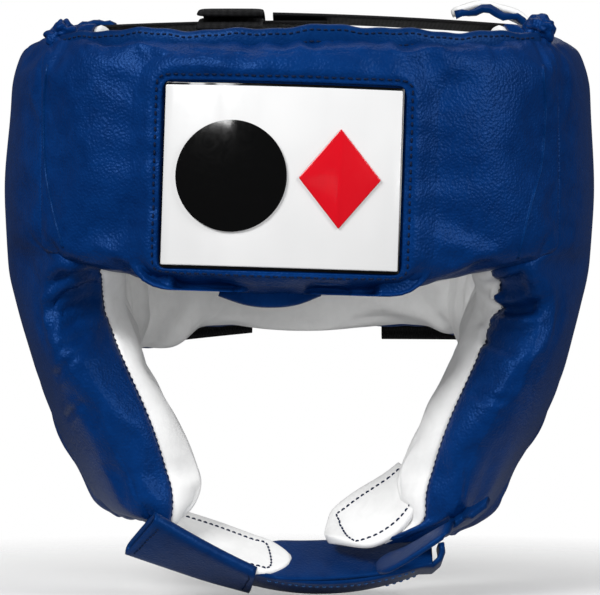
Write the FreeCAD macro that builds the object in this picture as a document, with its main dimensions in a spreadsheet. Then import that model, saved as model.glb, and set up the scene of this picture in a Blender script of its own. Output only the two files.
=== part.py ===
"""Open-face boxing headgear: a ring of padded leather shells around the head, a crown of webbing
straps, a rear closure and a double chin strap.  Millimetres, +Z up, the face looks along -Y, and the
origin is the centre of the head cavity at the level of the brow pad's lower edge."""

import FreeCAD, Part
import Sketcher
import math
import os

doc = FreeCAD.newDocument("boxing_headgear")

# ---------------------------------------------------------------------------------- driving sizes
SIZES = {
    # what every padded shell is made of
    "wall": 2.2,             # leather cover
    "lining_t": 2.0,         # inner lining
    "slack": 0.35,           # free space between separate pieces
    # brow pad, a sector of a ring about a vertical axis
    "brow_axis_y": 7.0,
    "brow_rad": 130.0,
    "brow_thick": 28.0,
    "brow_angle": 44.6,      # half of the sector
    "brow_low": 0.0,
    "brow_tall": 91.5,
    # rear pad, the same about its own axis
    "rear_axis_y": 19.6,
    "rear_rad": 101.5,
    "rear_thick": 25.0,
    "rear_angle": 58.5,
    "rear_low": -12.0,
    "rear_tall": 101.0,
    # ear openings
    "ear_y": 10.0,
    "ear_z": 6.0,
    "ear_rad": 18.0,
    "ear_ring_width": 6.5,
    "ear_ring_t": 1.2,
    # badge on the brow
    "badge_angle": 18.2,     # half of the plate
    "badge_turn": -2.85,     # it is sewn on a little to the wearer's right
    "badge_tilt": 1.8,       # and not quite level
    "badge_low": 9.0,
    "badge_tall": 63.5,
    "badge_border": 6.0,
    "badge_window": 0.5,     # free space inside the frame
    "badge_stand": 0.8,      # how far the badge stands off the leather
    "badge_back_t": 0.8,
    "badge_plate_t": 1.6,
    "plate_edge": 1.0,       # how much of the black back shows round the plate
    "emblem_t": 0.9,
    "disc_rad": 19.0,
    "disc_left": 17.0,       # from the badge's middle
    "diamond_half": 14.0,
    "diamond_right": 20.0,
    "diamond_tall": 17.0,
    # crown straps
    "web_t": 2.0,
    "cross_wide": 36.0,
    "cross_reach": 88.0,
    "cross_y": -6.0,
    "cross_z": 97.9,
    "cross_rad": 1500.0,
    "cross_lap": 10.0,
    "long_x": -24.5,
    "long_wide": 23.0,
    "long_rad": 550.0,
    # rear closure and elastic
    "closure_low": 18.0,
    "closure_wide": 50.0,
    "strap_t": 2.2,
    "elastic_low": -17.0,
    "elastic_wide": 26.0,
    "elastic_t": 1.8,
    "patch_t": 1.0,
    # chin strap
    "chin_wide": 28.0,
    "chin_mid_y": -59.0,
    "tail_wide": 23.4,
    "tail_t": 2.4,
    "tail_rad": 95.0,        # of its outer face, in the front view
    "tail_mid_x": 8.0,
    "tail_mid_z": -10.6,
    "tail_start_x": -14.4,
    "tail_end_x": 46.5,
    "keeper_wall": 1.5,
}

sheet = doc.addObject("Spreadsheet::Sheet", "Dims")
for row, (alias, number) in enumerate(SIZES.items(), start=1):
    sheet.set(f"A{row}", alias)
    sheet.set(f"B{row}", str(number))
    sheet.setAlias(f"B{row}", alias)

# A side pad is drawn at these levels, lowest first.  Each row is the level, where the outer face starts
# at the front (x, y), its heading (degrees from +Y towards +X), its chord and the radius of its face;
# the pad's thickness at its ends and how much thicker it is in the middle; and how far the front and
# rear ends slant for each mm of depth.
SIDE_STATIONS = [
    ("s1", -87, 51, -75, 21, 42, 70, 9, 0, 0.2, 0.2),
    ("s2", -77, 55.5, -82, 20, 60, 80, 17, 0, 0.2, 0.2),
    ("s3", -62, 61, -86, 18, 78, 100, 25, 0, 0.3, 0.2),
    ("s4", -42, 71, -90, 13, 106, 145, 26, 1, 0.4, 0.2),
    ("s5", -22, 82, -91, 6, 136, 190, 25, 3, 0.6, 0.3),
    ("s6", -4, 89.6, -83.4, 0, 150, 168, 21, 8, 1.03, 0.5),
    ("s7", 12, 91.8, -85, -1.5, 156, 152, 20.5, 9, 1.07, 0.6),
    ("s8", 74, 91.8, -85, -1.5, 156, 152, 20.5, 9, 1.07, 0.6),
    ("s9", 91, 87, -80, -1.5, 149, 152, 18, 8, 1.07, 0.6),
    ("s10", 97.5, 80, -73, -1.5, 139, 152, 12, 5, 1.07, 0.6),
]
STATION_KEYS = ("lev", "fx", "fy", "head", "chord", "rad", "thick", "swell", "cutf", "cutr")
for row, station in enumerate(SIDE_STATIONS, start=len(SIZES) + 2):
    for column, key, number in zip("BCDEFGHIJK", STATION_KEYS, station[1:]):
        sheet.set(f"{column}{row}", str(number))
        sheet.setAlias(f"{column}{row}", f"{station[0]}_{key}")
        SIZES[f"{station[0]}_{key}"] = number
doc.recompute()


class Size:
    """A number together with the spreadsheet expression that gives it."""

    def __init__(self, value, text=None):
        self.value = float(value)
        self.text = text if text is not None else repr(float(value))

    def _with(self, other, sign, value):
        other = as_size(other)
        return Size(value, f"({self.text} {sign} {other.text})")

    def __add__(self, other):
        return self._with(other, "+", self.value + as_size(other).value)

    def __sub__(self, other):
        return self._with(other, "-", self.value - as_size(other).value)

    def __mul__(self, other):
        return self._with(other, "*", self.value * as_size(other).value)

    def __truediv__(self, other):
        return self._with(other, "/", self.value / as_size(other).value)

    def __rsub__(self, other):
        return as_size(other) - self

    __radd__ = __add__
    __rmul__ = __mul__

    def __neg__(self):
        return self * -1


def as_size(x):
    return x if isinstance(x, Size) else Size(x)


def dim(alias):
    return Size(SIZES[alias], f"Dims.{alias}")


def root(size):
    return Size(math.sqrt(size.value), f"sqrt({size.text})")


def sin(angle):
    return Size(math.sin(math.radians(angle.value)), f"sin({angle.text})")


def cos(angle):
    return Size(math.cos(math.radians(angle.value)), f"cos({angle.text})")


# ---------------------------------------------------------------------------- sketching and solids
def new_body(label):
    body = doc.addObject("PartDesign::Body", label)
    body.Label = label
    return body


def new_sketch(body, role="XY_Plane", x=0, y=0, z=0, turn=None):
    """A sketch on one of the body's origin planes, moved by (x, y, z) in that plane's own axes."""
    sketch = body.newObject("Sketcher::SketchObject", f"{body.Name}_sketch")
    plane = next(f for f in body.Origin.OriginFeatures if f.Role == role)
    sketch.AttachmentSupport = [(plane, "")]
    sketch.MapMode = "FlatFace"
    angle = turn.value if turn is not None else 0
    sketch.AttachmentOffset = FreeCAD.Placement(
        FreeCAD.Vector(as_size(x).value, as_size(y).value, as_size(z).value),
        FreeCAD.Rotation(FreeCAD.Vector(0, 0, 1), angle),
    )
    for axis, offset in zip("xyz", (x, y, z)):
        sketch.setExpression(f"AttachmentOffset.Base.{axis}", as_size(offset).text)
    if turn is not None:
        sketch.setExpression("AttachmentOffset.Rotation.Angle", turn.text)
    return sketch


def set_size(sketch, constraint, size):
    index = sketch.addConstraint(constraint)
    sketch.setExpression(f"Constraints[{index}]", size.text)


def fix_point(sketch, geo, pos, point):
    for kind, size in zip(("DistanceX", "DistanceY"), point):
        set_size(sketch, Sketcher.Constraint(kind, -1, 1, geo, pos, size.value), size)


def arc_edge(a, b, radius, bulge):
    """The arc from a to b of that radius.  It bulges to the left of a-b if bulge is 1, to the right if -1."""
    ax, ay, bx, by = a[0].value, a[1].value, b[0].value, b[1].value
    half = math.hypot(bx - ax, by - ay) / 2
    rise = radius.value - math.sqrt(radius.value**2 - half**2)
    nx, ny = -(by - ay) / (2 * half), (bx - ax) / (2 * half)
    mid = FreeCAD.Vector((ax + bx) / 2 + nx * rise * bulge, (ay + by) / 2 + ny * rise * bulge, 0)
    return Part.Arc(FreeCAD.Vector(ax, ay, 0), mid, FreeCAD.Vector(bx, by, 0))


def four_sided(sketch, a, b, c, d, outer, inner, bulge):
    """A closed outline a-b-c-d whose edges a-b and d-c are arcs that bulge the same way."""
    points = [tuple(as_size(v) for v in p) for p in (a, b, c, d)]
    a, b, c, d = points
    vector = [FreeCAD.Vector(p[0].value, p[1].value, 0) for p in points]
    first = sketch.addGeometry(arc_edge(a, b, outer, bulge))
    second = sketch.addGeometry(Part.LineSegment(vector[1], vector[2]))
    third = sketch.addGeometry(arc_edge(d, c, inner, bulge))
    fourth = sketch.addGeometry(Part.LineSegment(vector[3], vector[0]))
    # a sketch arc always runs anticlockwise, so its start may be either of its two ends
    arc_a, arc_b = ends_near(sketch, first, vector[0])
    arc_d, arc_c = ends_near(sketch, third, vector[3])
    join = sketch.addConstraint
    join(Sketcher.Constraint("Coincident", first, arc_b, second, 1))
    join(Sketcher.Constraint("Coincident", second, 2, third, arc_c))
    join(Sketcher.Constraint("Coincident", third, arc_d, fourth, 1))
    join(Sketcher.Constraint("Coincident", fourth, 2, first, arc_a))
    fix_point(sketch, first, arc_a, a)
    fix_point(sketch, first, arc_b, b)
    fix_point(sketch, third, arc_c, c)
    fix_point(sketch, third, arc_d, d)
    set_size(sketch, Sketcher.Constraint("Radius", first, outer.value), outer)
    set_size(sketch, Sketcher.Constraint("Radius", third, inner.value), inner)


def ends_near(sketch, geo, point):
    """(the position number of the arc's end at that point, the other one)"""
    start = sketch.getPoint(geo, 1)
    return (1, 2) if (start - point).Length < 1e-4 else (2, 1)


def polygon(sketch, corners):
    """A closed outline of straight edges."""
    corners = [tuple(as_size(v) for v in p) for p in corners]
    vector = [FreeCAD.Vector(p[0].value, p[1].value, 0) for p in corners]
    edges = []
    for i in range(len(vector)):
        edges.append(sketch.addGeometry(Part.LineSegment(vector[i], vector[(i + 1) % len(vector)])))
    for i, edge in enumerate(edges):
        sketch.addConstraint(Sketcher.Constraint("Coincident", edge, 2, edges[(i + 1) % len(edges)], 1))
        fix_point(sketch, edge, 1, corners[i])


def circle(sketch, radius, at=(0, 0)):
    centre = tuple(as_size(v) for v in at)
    point = FreeCAD.Vector(centre[0].value, centre[1].value, 0)
    geo = sketch.addGeometry(Part.Circle(point, FreeCAD.Vector(0, 0, 1), radius.value))
    fix_point(sketch, geo, 3, centre)
    set_size(sketch, Sketcher.Constraint("Radius", geo, radius.value), radius)


def loft(body, sketches, subtract=False):
    kind = "PartDesign::SubtractiveLoft" if subtract else "PartDesign::AdditiveLoft"
    feature = body.newObject(kind, f"{body.Name}_loft")
    feature.Profile = sketches[0]
    feature.Sections = sketches[1:]
    feature.Ruled = True
    return feature


def pad(body, sketch, length, symmetric=False):
    length = as_size(length)
    feature = body.newObject("PartDesign::Pad", f"{body.Name}_pad")
    feature.Profile = sketch
    feature.Length = length.value
    feature.setExpression("Length", length.text)
    if symmetric:
        feature.SideType = "Symmetric"
    return feature


def pocket(body, sketch, length, towards_normal):
    feature = body.newObject("PartDesign::Pocket", f"{body.Name}_pocket")
    feature.Profile = sketch
    feature.Length = length.value
    feature.setExpression("Length", length.text)
    feature.Reversed = towards_normal
    return feature


# ------------------------------------------------------------------------- brow pad and rear pad
RING_ROUNDING = [  # share of the height, and how far the outer and inner faces draw in there
    (0.0, 9.0, 5.0),
    (0.06, 2.5, 1.5),
    (0.15, 0.0, 0.0),
    (0.81, 0.0, 0.0),
    (0.93, 4.0, 2.0),
    (1.0, 12.0, 5.0),
]
DEGREES = 180 / math.pi
STRAIGHT = 2000  # a radius so large that the face is as good as flat


def sector(sketch, outer, inner, angle, front, turn=0):
    """A ring sector about the sketch's origin: towards -Y if front, else towards +Y."""
    way = -1 if front else 1
    low, high = as_size(turn) - angle, as_size(turn) + angle
    a = (outer * sin(low), outer * cos(low) * way)
    b = (outer * sin(high), outer * cos(high) * way)
    c = (inner * sin(high), inner * cos(high) * way)
    d = (inner * sin(low), inner * cos(low) * way)
    four_sided(sketch, a, b, c, d, outer, inner, bulge=way)


def ring_layer(body, name, front, span, ends=0, subtract=False):
    """One layer of the brow or rear pad.  span gives the depths at which it starts and stops for a pad
    of a given thickness, and ends is how much shorter it is all round."""
    low, tall, rad = dim(f"{name}_low"), dim(f"{name}_tall"), dim(f"{name}_rad")
    angle = dim(f"{name}_angle") - as_size(ends) / rad * DEGREES
    sketches = []
    for share, out_in, in_out in RING_ROUNDING:
        level = low + tall * share
        if share in (0.0, 1.0):
            level = level + as_size(ends) * (1 - 2 * share)
        outer = rad - out_in
        near, far = span(outer - (rad - dim(f"{name}_thick") + in_out))
        sketch = new_sketch(body, y=dim(f"{name}_axis_y"), z=level)
        sector(sketch, outer - near, outer - far, angle, front)
        sketches.append(sketch)
    return loft(body, sketches, subtract)


# ------------------------------------------------------------------------------------- side pads
def face_radius(s, depth):
    """Radius of a side pad's section at that depth: the outer face's, flattened by the swell inside."""
    chord = s["chord"] - (s["cutf"] + s["cutr"]) * depth
    swell = s["swell"] * depth / s["thick"] if depth.value > 0 else 0
    bow = s["rad"] - root(s["rad"] * s["rad"] - chord * chord / 4) - swell
    return (chord * chord / 4 + bow * bow) / (bow * 2)


def side_layer(body, side, span, ends=0, subtract=False):
    """One layer of a side pad, on the wearer's left (side 1, +X) or right (side -1)."""
    ends = as_size(ends)
    sketches = []
    for station in SIDE_STATIONS:
        s = {key: dim(f"{station[0]}_{key}") for key in STATION_KEYS}
        level = s["lev"]
        if station is SIDE_STATIONS[0]:
            level = level + ends
        if station is SIDE_STATIONS[-1]:
            level = level - ends
        turn = Size(90) - s["head"] * side
        sketch = new_sketch(body, x=s["fx"] * side, y=s["fy"], z=level, turn=turn)
        near, far = (as_size(depth) for depth in span(s["thick"]))
        a = (ends + s["cutf"] * near, near * side)
        b = (s["chord"] - ends - s["cutr"] * near, near * side)
        c = (s["chord"] - ends - s["cutr"] * far, far * side)
        d = (ends + s["cutf"] * far, far * side)
        four_sided(sketch, a, b, c, d, face_radius(s, near), face_radius(s, far), bulge=-side)
        sketches.append(sketch)
    return loft(body, sketches, subtract)


def ear_cut(body, side, radius, keep_inside=False):
    """Cuts the ear opening through a side piece, or all that lies outside that radius."""
    sketch = new_sketch(body, "YZ_Plane")
    if keep_inside:
        far = 260
        polygon(sketch, [(-far, -far), (far, -far), (far, far), (-far, far)])
    circle(sketch, radius, (dim("ear_y"), dim("ear_z")))
    pocket(body, sketch, Size(160), towards_normal=side > 0)


def padded_shell(word, layer, cut=None):
    """Cover, foam and lining.  The cover is a tray that opens towards the head, the foam fills it and
    the lining closes it.  layer(body, span, ends, subtract) draws one layer."""
    wall, lining, slack = dim("wall"), dim("lining_t"), dim("slack")
    cover, foam, skin = (new_body(f"{word}_{part}") for part in ("cover", "foam", "lining"))
    layer(cover, lambda thick: (0, thick), 0, False)
    layer(cover, lambda thick: (wall, thick + 3), wall, True)
    layer(foam, lambda thick: (wall + slack, thick - lining - slack), wall + slack, False)
    layer(skin, lambda thick: (thick - lining, thick), wall + slack, False)
    for body in (cover, foam, skin):
        if cut:
            cut(body)


def ring_pad(name, front):
    padded_shell(name, lambda body, span, ends, cut: ring_layer(body, name, front, span, ends, cut))


def side_pad(side, word):
    padded_shell(
        f"{word}_side",
        lambda body, span, ends, cut: side_layer(body, side, span, ends, cut),
        cut=lambda body: ear_cut(body, side, dim("ear_rad")),
    )
    slack, wall, hole = dim("slack"), dim("wall"), dim("ear_rad")
    binding = new_body(f"{word}_ear_binding")
    side_layer(binding, side, lambda thick: (0, thick), 3)
    ear_cut(binding, side, hole - slack, keep_inside=True)
    ear_cut(binding, side, hole - slack - wall)
    ring = new_body(f"{word}_ear_ring")
    side_layer(ring, side, lambda thick: (-dim("ear_ring_t") - slack, -slack))
    ear_cut(ring, side, hole + dim("ear_ring_width"), keep_inside=True)
    ear_cut(ring, side, hole)


# -------------------------------------------------------------------- pieces cut from flat outlines
def band_piece(label, name, front, start, thick, angle, turn, low, tall):
    """A curved sheet on the brow or rear pad: start is how far it stands off the cover."""
    body = new_body(label)
    inner = dim(f"{name}_rad") + start
    sketch = new_sketch(body, y=dim(f"{name}_axis_y"), z=low)
    sector(sketch, inner + thick, inner, angle, front, turn)
    pad(body, sketch, tall)
    return body


def front_piece(label, corners, outer, inner, bulge, wide=None, mid_y=None):
    """A strap or tab drawn in the front view (x, z) and given its width along Y."""
    body = new_body(label)
    sketch = new_sketch(body, "XZ_Plane", z=-(mid_y or dim("chin_mid_y")))
    four_sided(sketch, *corners, as_size(outer), as_size(inner), bulge)
    pad(body, sketch, wide or dim("chin_wide"), symmetric=True)
    return body


def side_piece(label, corners, outer, inner, bulge, wide, mid_x):
    """A strap drawn in the side view (y, z) and given its width along X."""
    body = new_body(label)
    sketch = new_sketch(body, "YZ_Plane", z=mid_x)
    four_sided(sketch, *corners, as_size(outer), as_size(inner), bulge)
    pad(body, sketch, wide, symmetric=True)
    return body


# ------------------------------------------------------------------------------------------ badge
FAR = 260  # beyond the whole object


def keep_outline(body, draw):
    """Keeps only what lies inside an outline in the front view; draw(sketch) draws it."""
    sketch = new_sketch(body, "XZ_Plane")
    polygon(sketch, [(-FAR, -FAR), (FAR, -FAR), (FAR, FAR), (-FAR, FAR)])
    draw(sketch)
    pocket(body, sketch, Size(FAR), towards_normal=True)


def badge():
    """Stitched leather frame, black back, white plate and a raised emblem: a disc and a diamond."""
    angle, turn, rad = dim("badge_angle"), dim("badge_turn"), dim("brow_rad")
    low, tall = dim("badge_low"), dim("badge_tall")
    border, window, stand = dim("badge_border"), dim("badge_window"), dim("badge_stand")

    def layer(label, start, thick, edge):
        """A layer that reaches past the back plate by edge on every side."""
        half_angle = angle + edge / rad * DEGREES
        return band_piece(label, "brow", True, start, thick, half_angle, turn, low - edge, tall + edge * 2)

    frame = layer("badge_frame", stand, dim("badge_plate_t"), border)
    opening = new_sketch(frame, y=dim("brow_axis_y"), z=low - window)
    sector(opening, rad + border, rad - border, angle + window / rad * DEGREES, True, turn)
    pocket(frame, opening, tall + window * 2, towards_normal=True)
    back = layer("badge_back_plate", stand, dim("badge_back_t"), Size(0))
    plate_start = stand + dim("badge_back_t")
    plate = layer("badge_plate", plate_start, dim("badge_plate_t"), -dim("plate_edge"))
    emblem_start = plate_start + dim("badge_plate_t")
    disc = layer("badge_disc", emblem_start, dim("emblem_t"), -dim("plate_edge"))
    diamond = layer("badge_diamond", emblem_start, dim("emblem_t"), -dim("plate_edge"))
    middle_x = rad * sin(turn)
    middle_z = low + tall / 2
    disc_at = (middle_x - dim("disc_left"), middle_z)
    keep_outline(disc, lambda sketch: circle(sketch, dim("disc_rad"), disc_at))
    x, half, up = middle_x + dim("diamond_right"), dim("diamond_half"), dim("diamond_tall")
    corners = [(x - half, middle_z), (x, middle_z - up), (x + half, middle_z), (x, middle_z + up)]
    keep_outline(diamond, lambda sketch: polygon(sketch, corners))
    tilt = FreeCAD.Rotation(FreeCAD.Vector(0, 1, 0), dim("badge_tilt").value)
    centre = FreeCAD.Vector(middle_x.value, 0, middle_z.value)
    for body in (frame, back, plate, disc, diamond):
        body.Placement = FreeCAD.Placement(FreeCAD.Vector(0, 0, 0), tilt, centre)


# ------------------------------------------------------------------------------------------ crown
def crown():
    """Cross strap in two lapped halves, sewn on the side pads; a long strap from the rear pad over it,
    fastened on a web sewn on the brow; and small leather pieces on the corners."""
    web, slack, cross_rad = dim("web_t"), dim("slack"), dim("cross_rad")
    z, lap, reach = dim("cross_z"), dim("cross_lap"), dim("cross_reach")

    def cross(label, x0, x1, at_lap, at_reach, side):
        """A stretch of the half sewn on that side, on an arc from the lap to the reach."""
        corners = []
        for x, up in ((x0, web), (x1, web), (x1, 0), (x0, 0)):
            out = as_size(x) * side
            share = (out + lap) / (reach + lap)
            rise = (out + lap) * (reach - out) / (cross_rad * 2)
            corners.append((x, z + at_lap * (1 - share) + at_reach * share + rise + up))
        front_piece(label, corners, cross_rad, cross_rad, 1, dim("cross_wide"), dim("cross_y"))

    # the wearer's right half lies under the left half, whose free end lifts off it
    cross("crown_cross_right", -reach, lap, 2.5, 0, -1)
    cross("crown_cross_left", -lap, Size(63.5), 5.5, slack, 1)
    cross("crown_cross_base", Size(64.2), reach, 5.5, slack, 1)

    def along(label, y0, z0, y1, z1, rad):
        corners = [(y0, z0), (y1, z1), (y1, z1 - web), (y0, z0 - web)]
        side_piece(label, corners, rad, rad, 1, dim("long_wide"), dim("long_x"))

    along("crown_front_web", -104, 94, -34, 102.2, 600)
    along("crown_long_strap", -92, 99.8, 99, 94, dim("long_rad"))
    along("crown_long_anchor", 100.2, 93.9, 107, 92, 60)
    flaps = {
        "crown_flap_left": ([(93, 98), (58, 107.5), (59.5, 104), (90, 98)], 34, -1, 26, 38),
        "crown_flap_right": ([(-93, 98), (-70, 105.5), (-71.5, 102), (-90, 98)], 22, 1, 18, 34),
        "corner_gusset_left": ([(62, 95.5), (77, 98.5), (77, 92.2), (62, 92.2)], 60, 1, 12, -79),
        "corner_gusset_right": ([(-77, 98.5), (-62, 95.5), (-62, 92.2), (-77, 92.2)], 60, 1, 12, -79),
    }
    for label, (corners, rad, bulge, wide, mid_y) in flaps.items():
        front_piece(label, corners, rad, rad, bulge, Size(wide), Size(mid_y))


# ----------------------------------------------------------------------------------- rear closure
def rear_closure():
    """A wide leather strap across the back that hooks onto a patch, and two elastic bands below it."""
    slack, strap_t, patch_t = dim("slack"), dim("strap_t"), dim("patch_t")
    low, tall = dim("closure_low"), dim("closure_wide")

    def piece(label, start, thick, middle_angle, half_angle, inset=0):
        band_piece(label, "rear", False, start, thick, Size(half_angle), Size(middle_angle), low + inset,
                   tall - 2 * inset)

    piece("closure_anchor", slack, strap_t, -54.8, 2.2)
    piece("closure_loop_patch", slack, patch_t, 32, 15, inset=5)
    piece("closure_hook_patch", slack * 2 + patch_t, patch_t, 32, 14, inset=6)
    piece("closure_strap", slack * 2.2 + patch_t * 2, strap_t, -1.4, 50.4)
    for word, middle_angle, half_angle in (("right", -33, 22), ("left", 37, 18)):
        band_piece(f"rear_elastic_{word}", "rear", False, slack, dim("elastic_t"), Size(half_angle),
                   Size(middle_angle), dim("elastic_low"), dim("elastic_wide"))


# ------------------------------------------------------------------------------------- chin strap
def tail_point(x, depth):
    """The point at that x on the tail strap, so far in from its outer face."""
    rad = dim("tail_rad").value - depth
    across = x - dim("tail_mid_x").value
    return (x, dim("tail_mid_z").value - math.sqrt(rad**2 - across**2))


def keeper():
    """A flat leather tube in line with the start of the tail strap, and the strap's end inside it."""
    thick, start_x = dim("tail_t").value, dim("tail_start_x").value
    start = tail_point(start_x, thick / 2)
    slope = math.asin((start_x - dim("tail_mid_x").value) / (dim("tail_rad").value - thick / 2))

    def tube(label, x0, x1, half, **size):
        """A straight length from x0 to x1, half of its height to each side of the strap's line."""
        corners = []
        for x, side in ((x0, 1), (x1, 1), (x1, -1), (x0, -1)):
            up = (x - start[0]) * math.tan(slope) + side * half / math.cos(slope)
            corners.append((x, start[1] + up))
        return front_piece(label, corners, STRAIGHT, STRAIGHT, 1, **size), corners

    wall = dim("keeper_wall")
    outside = thick / 2 + dim("slack").value + 0.15 + wall.value
    body, _ = tube("chin_keeper", -58.5, start_x - 3.4, outside)
    slide, corners = tube("chin_slide_end", -52, start_x - 2.2, thick / 2, wide=dim("tail_wide"))
    hollow = new_sketch(body, "XZ_Plane", z=-dim("chin_mid_y") - dim("chin_wide") / 2 + wall)
    inside = outside - wall.value
    reach = [(-FAR, 1), (0, 1), (0, -1), (-FAR, -1)]
    points = []
    for x, side in reach:
        up = (x - start[0]) * math.tan(slope) + side * inside / math.cos(slope)
        points.append((x, start[1] + up))
    polygon(hollow, points)
    pocket(body, hollow, dim("chin_wide") - wall * 2, towards_normal=True)


def chin():
    # padded tongues on the inside, towards the chin
    tongue = [(-35.5, -76.5), (-7, -88), (-8.5, -92), (-43, -87.4)]
    front_piece("chin_pad_right", tongue, 120, 160, 1)
    tongue = [(35.5, -76.5), (10, -86.2), (11.5, -90.5), (43, -87.4)]
    front_piece("chin_pad_left", tongue, 120, 160, -1)
    # the strap that stays put, from cheek to cheek
    corners = [(-47, -89.6), (47, -89.6), (47, -87.6), (-47, -87.6)]
    front_piece("chin_strap_upper", corners, 203, 203, -1)
    keeper()
    # the tail strap, with its end folded up under the tab
    rad, thick, wide = dim("tail_rad"), dim("tail_t"), dim("tail_wide")
    x0, x1 = dim("tail_start_x").value, dim("tail_end_x").value
    a, b = tail_point(x0, 0), tail_point(x1, 0)
    c, d = tail_point(x1, thick.value), tail_point(x0, thick.value)
    tail = front_piece("chin_tail_strap", [a, b, c, d], rad, rad - thick, -1, wide)
    fold = new_sketch(tail, "XZ_Plane", z=-dim("chin_mid_y"))
    polygon(fold, [(46, b[1] + 0.1), (49.5, -96.6), (51, -94.2), (48.6, -94.2), (46, c[1] + 0.1)])
    pad(tail, fold, wide, symmetric=True)
    hook = [(30.5, -100.1), (40, -97.2), (40, -96.5), (30.5, -99.4)]
    front_piece("chin_tail_hook", hook, 100, 100, -1, wide - 4)
    # the tab that comes down over the wearer's left cheek and holds the tail
    front_piece("chin_tab", [(29, -94.4), (68, -88.1), (68, -90.3), (29, -96.6)], STRAIGHT, STRAIGHT, 1)
    loop = [(30.5, -96.5), (40, -95.0), (40, -95.6), (30.5, -97.2)]
    front_piece("chin_tab_loop", loop, STRAIGHT, STRAIGHT, 1, wide - 4)


ring_pad("brow", front=True)
ring_pad("rear", front=False)
side_pad(1, "left")
side_pad(-1, "right")
lobe = [(-26, -0.4), (6, -0.4), (5, -0.3), (-25, -0.3)]
front_piece("brow_lobe", lobe, 37.4, 400, -1, Size(8), Size(-105))
badge()
crown()
rear_closure()
chin()

doc.recompute()
broken = [o.Name for o in doc.Objects if "Invalid" in o.State or "Error" in o.State]
if broken:
    raise SystemExit(f"these objects failed: {broken}")
os.makedirs("parts", exist_ok=True)
for body in doc.findObjects("PartDesign::Body"):
    shape = body.Shape
    if shape.isNull() or not shape.isValid() or not shape.Solids:
        raise SystemExit(f"{body.Label} has no valid solid")
    shape.exportStep(f"parts/{body.Label}.step")
    print(f"{body.Label:24s} {len(shape.Solids)} solid {shape.Volume / 1000:9.2f} cm3")
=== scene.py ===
"""Looks of the open-face boxing headgear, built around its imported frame.  Shapes are worked out in
millimetres in the frame's own axes (+Z up, the face looks along -Y) and made in metres."""

import math
from functools import partial

import bpy
import bmesh
import numpy as np
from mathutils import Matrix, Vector, noise
from mathutils.bvhtree import BVHTree


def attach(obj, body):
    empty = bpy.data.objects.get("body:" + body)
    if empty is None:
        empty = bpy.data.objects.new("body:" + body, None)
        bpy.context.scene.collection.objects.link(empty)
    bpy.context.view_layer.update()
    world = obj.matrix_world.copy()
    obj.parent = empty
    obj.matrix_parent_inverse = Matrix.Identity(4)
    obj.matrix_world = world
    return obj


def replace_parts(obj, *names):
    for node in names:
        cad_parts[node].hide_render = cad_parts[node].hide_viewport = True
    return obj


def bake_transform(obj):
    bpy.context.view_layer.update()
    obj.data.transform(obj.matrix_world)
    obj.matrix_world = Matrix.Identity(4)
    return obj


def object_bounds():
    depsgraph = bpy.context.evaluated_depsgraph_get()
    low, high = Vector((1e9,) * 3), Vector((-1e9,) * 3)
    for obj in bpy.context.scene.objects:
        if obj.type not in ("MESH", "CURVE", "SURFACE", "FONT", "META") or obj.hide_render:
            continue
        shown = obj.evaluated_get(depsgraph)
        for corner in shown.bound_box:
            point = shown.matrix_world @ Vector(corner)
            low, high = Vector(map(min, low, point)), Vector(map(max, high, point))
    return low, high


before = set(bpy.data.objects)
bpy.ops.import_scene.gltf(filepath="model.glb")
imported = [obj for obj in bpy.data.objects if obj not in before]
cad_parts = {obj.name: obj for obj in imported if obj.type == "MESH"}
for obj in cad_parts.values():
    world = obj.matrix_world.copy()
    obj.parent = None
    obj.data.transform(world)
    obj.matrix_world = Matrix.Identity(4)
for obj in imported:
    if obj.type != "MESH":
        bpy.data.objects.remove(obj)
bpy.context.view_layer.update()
MM = 0.001


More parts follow.
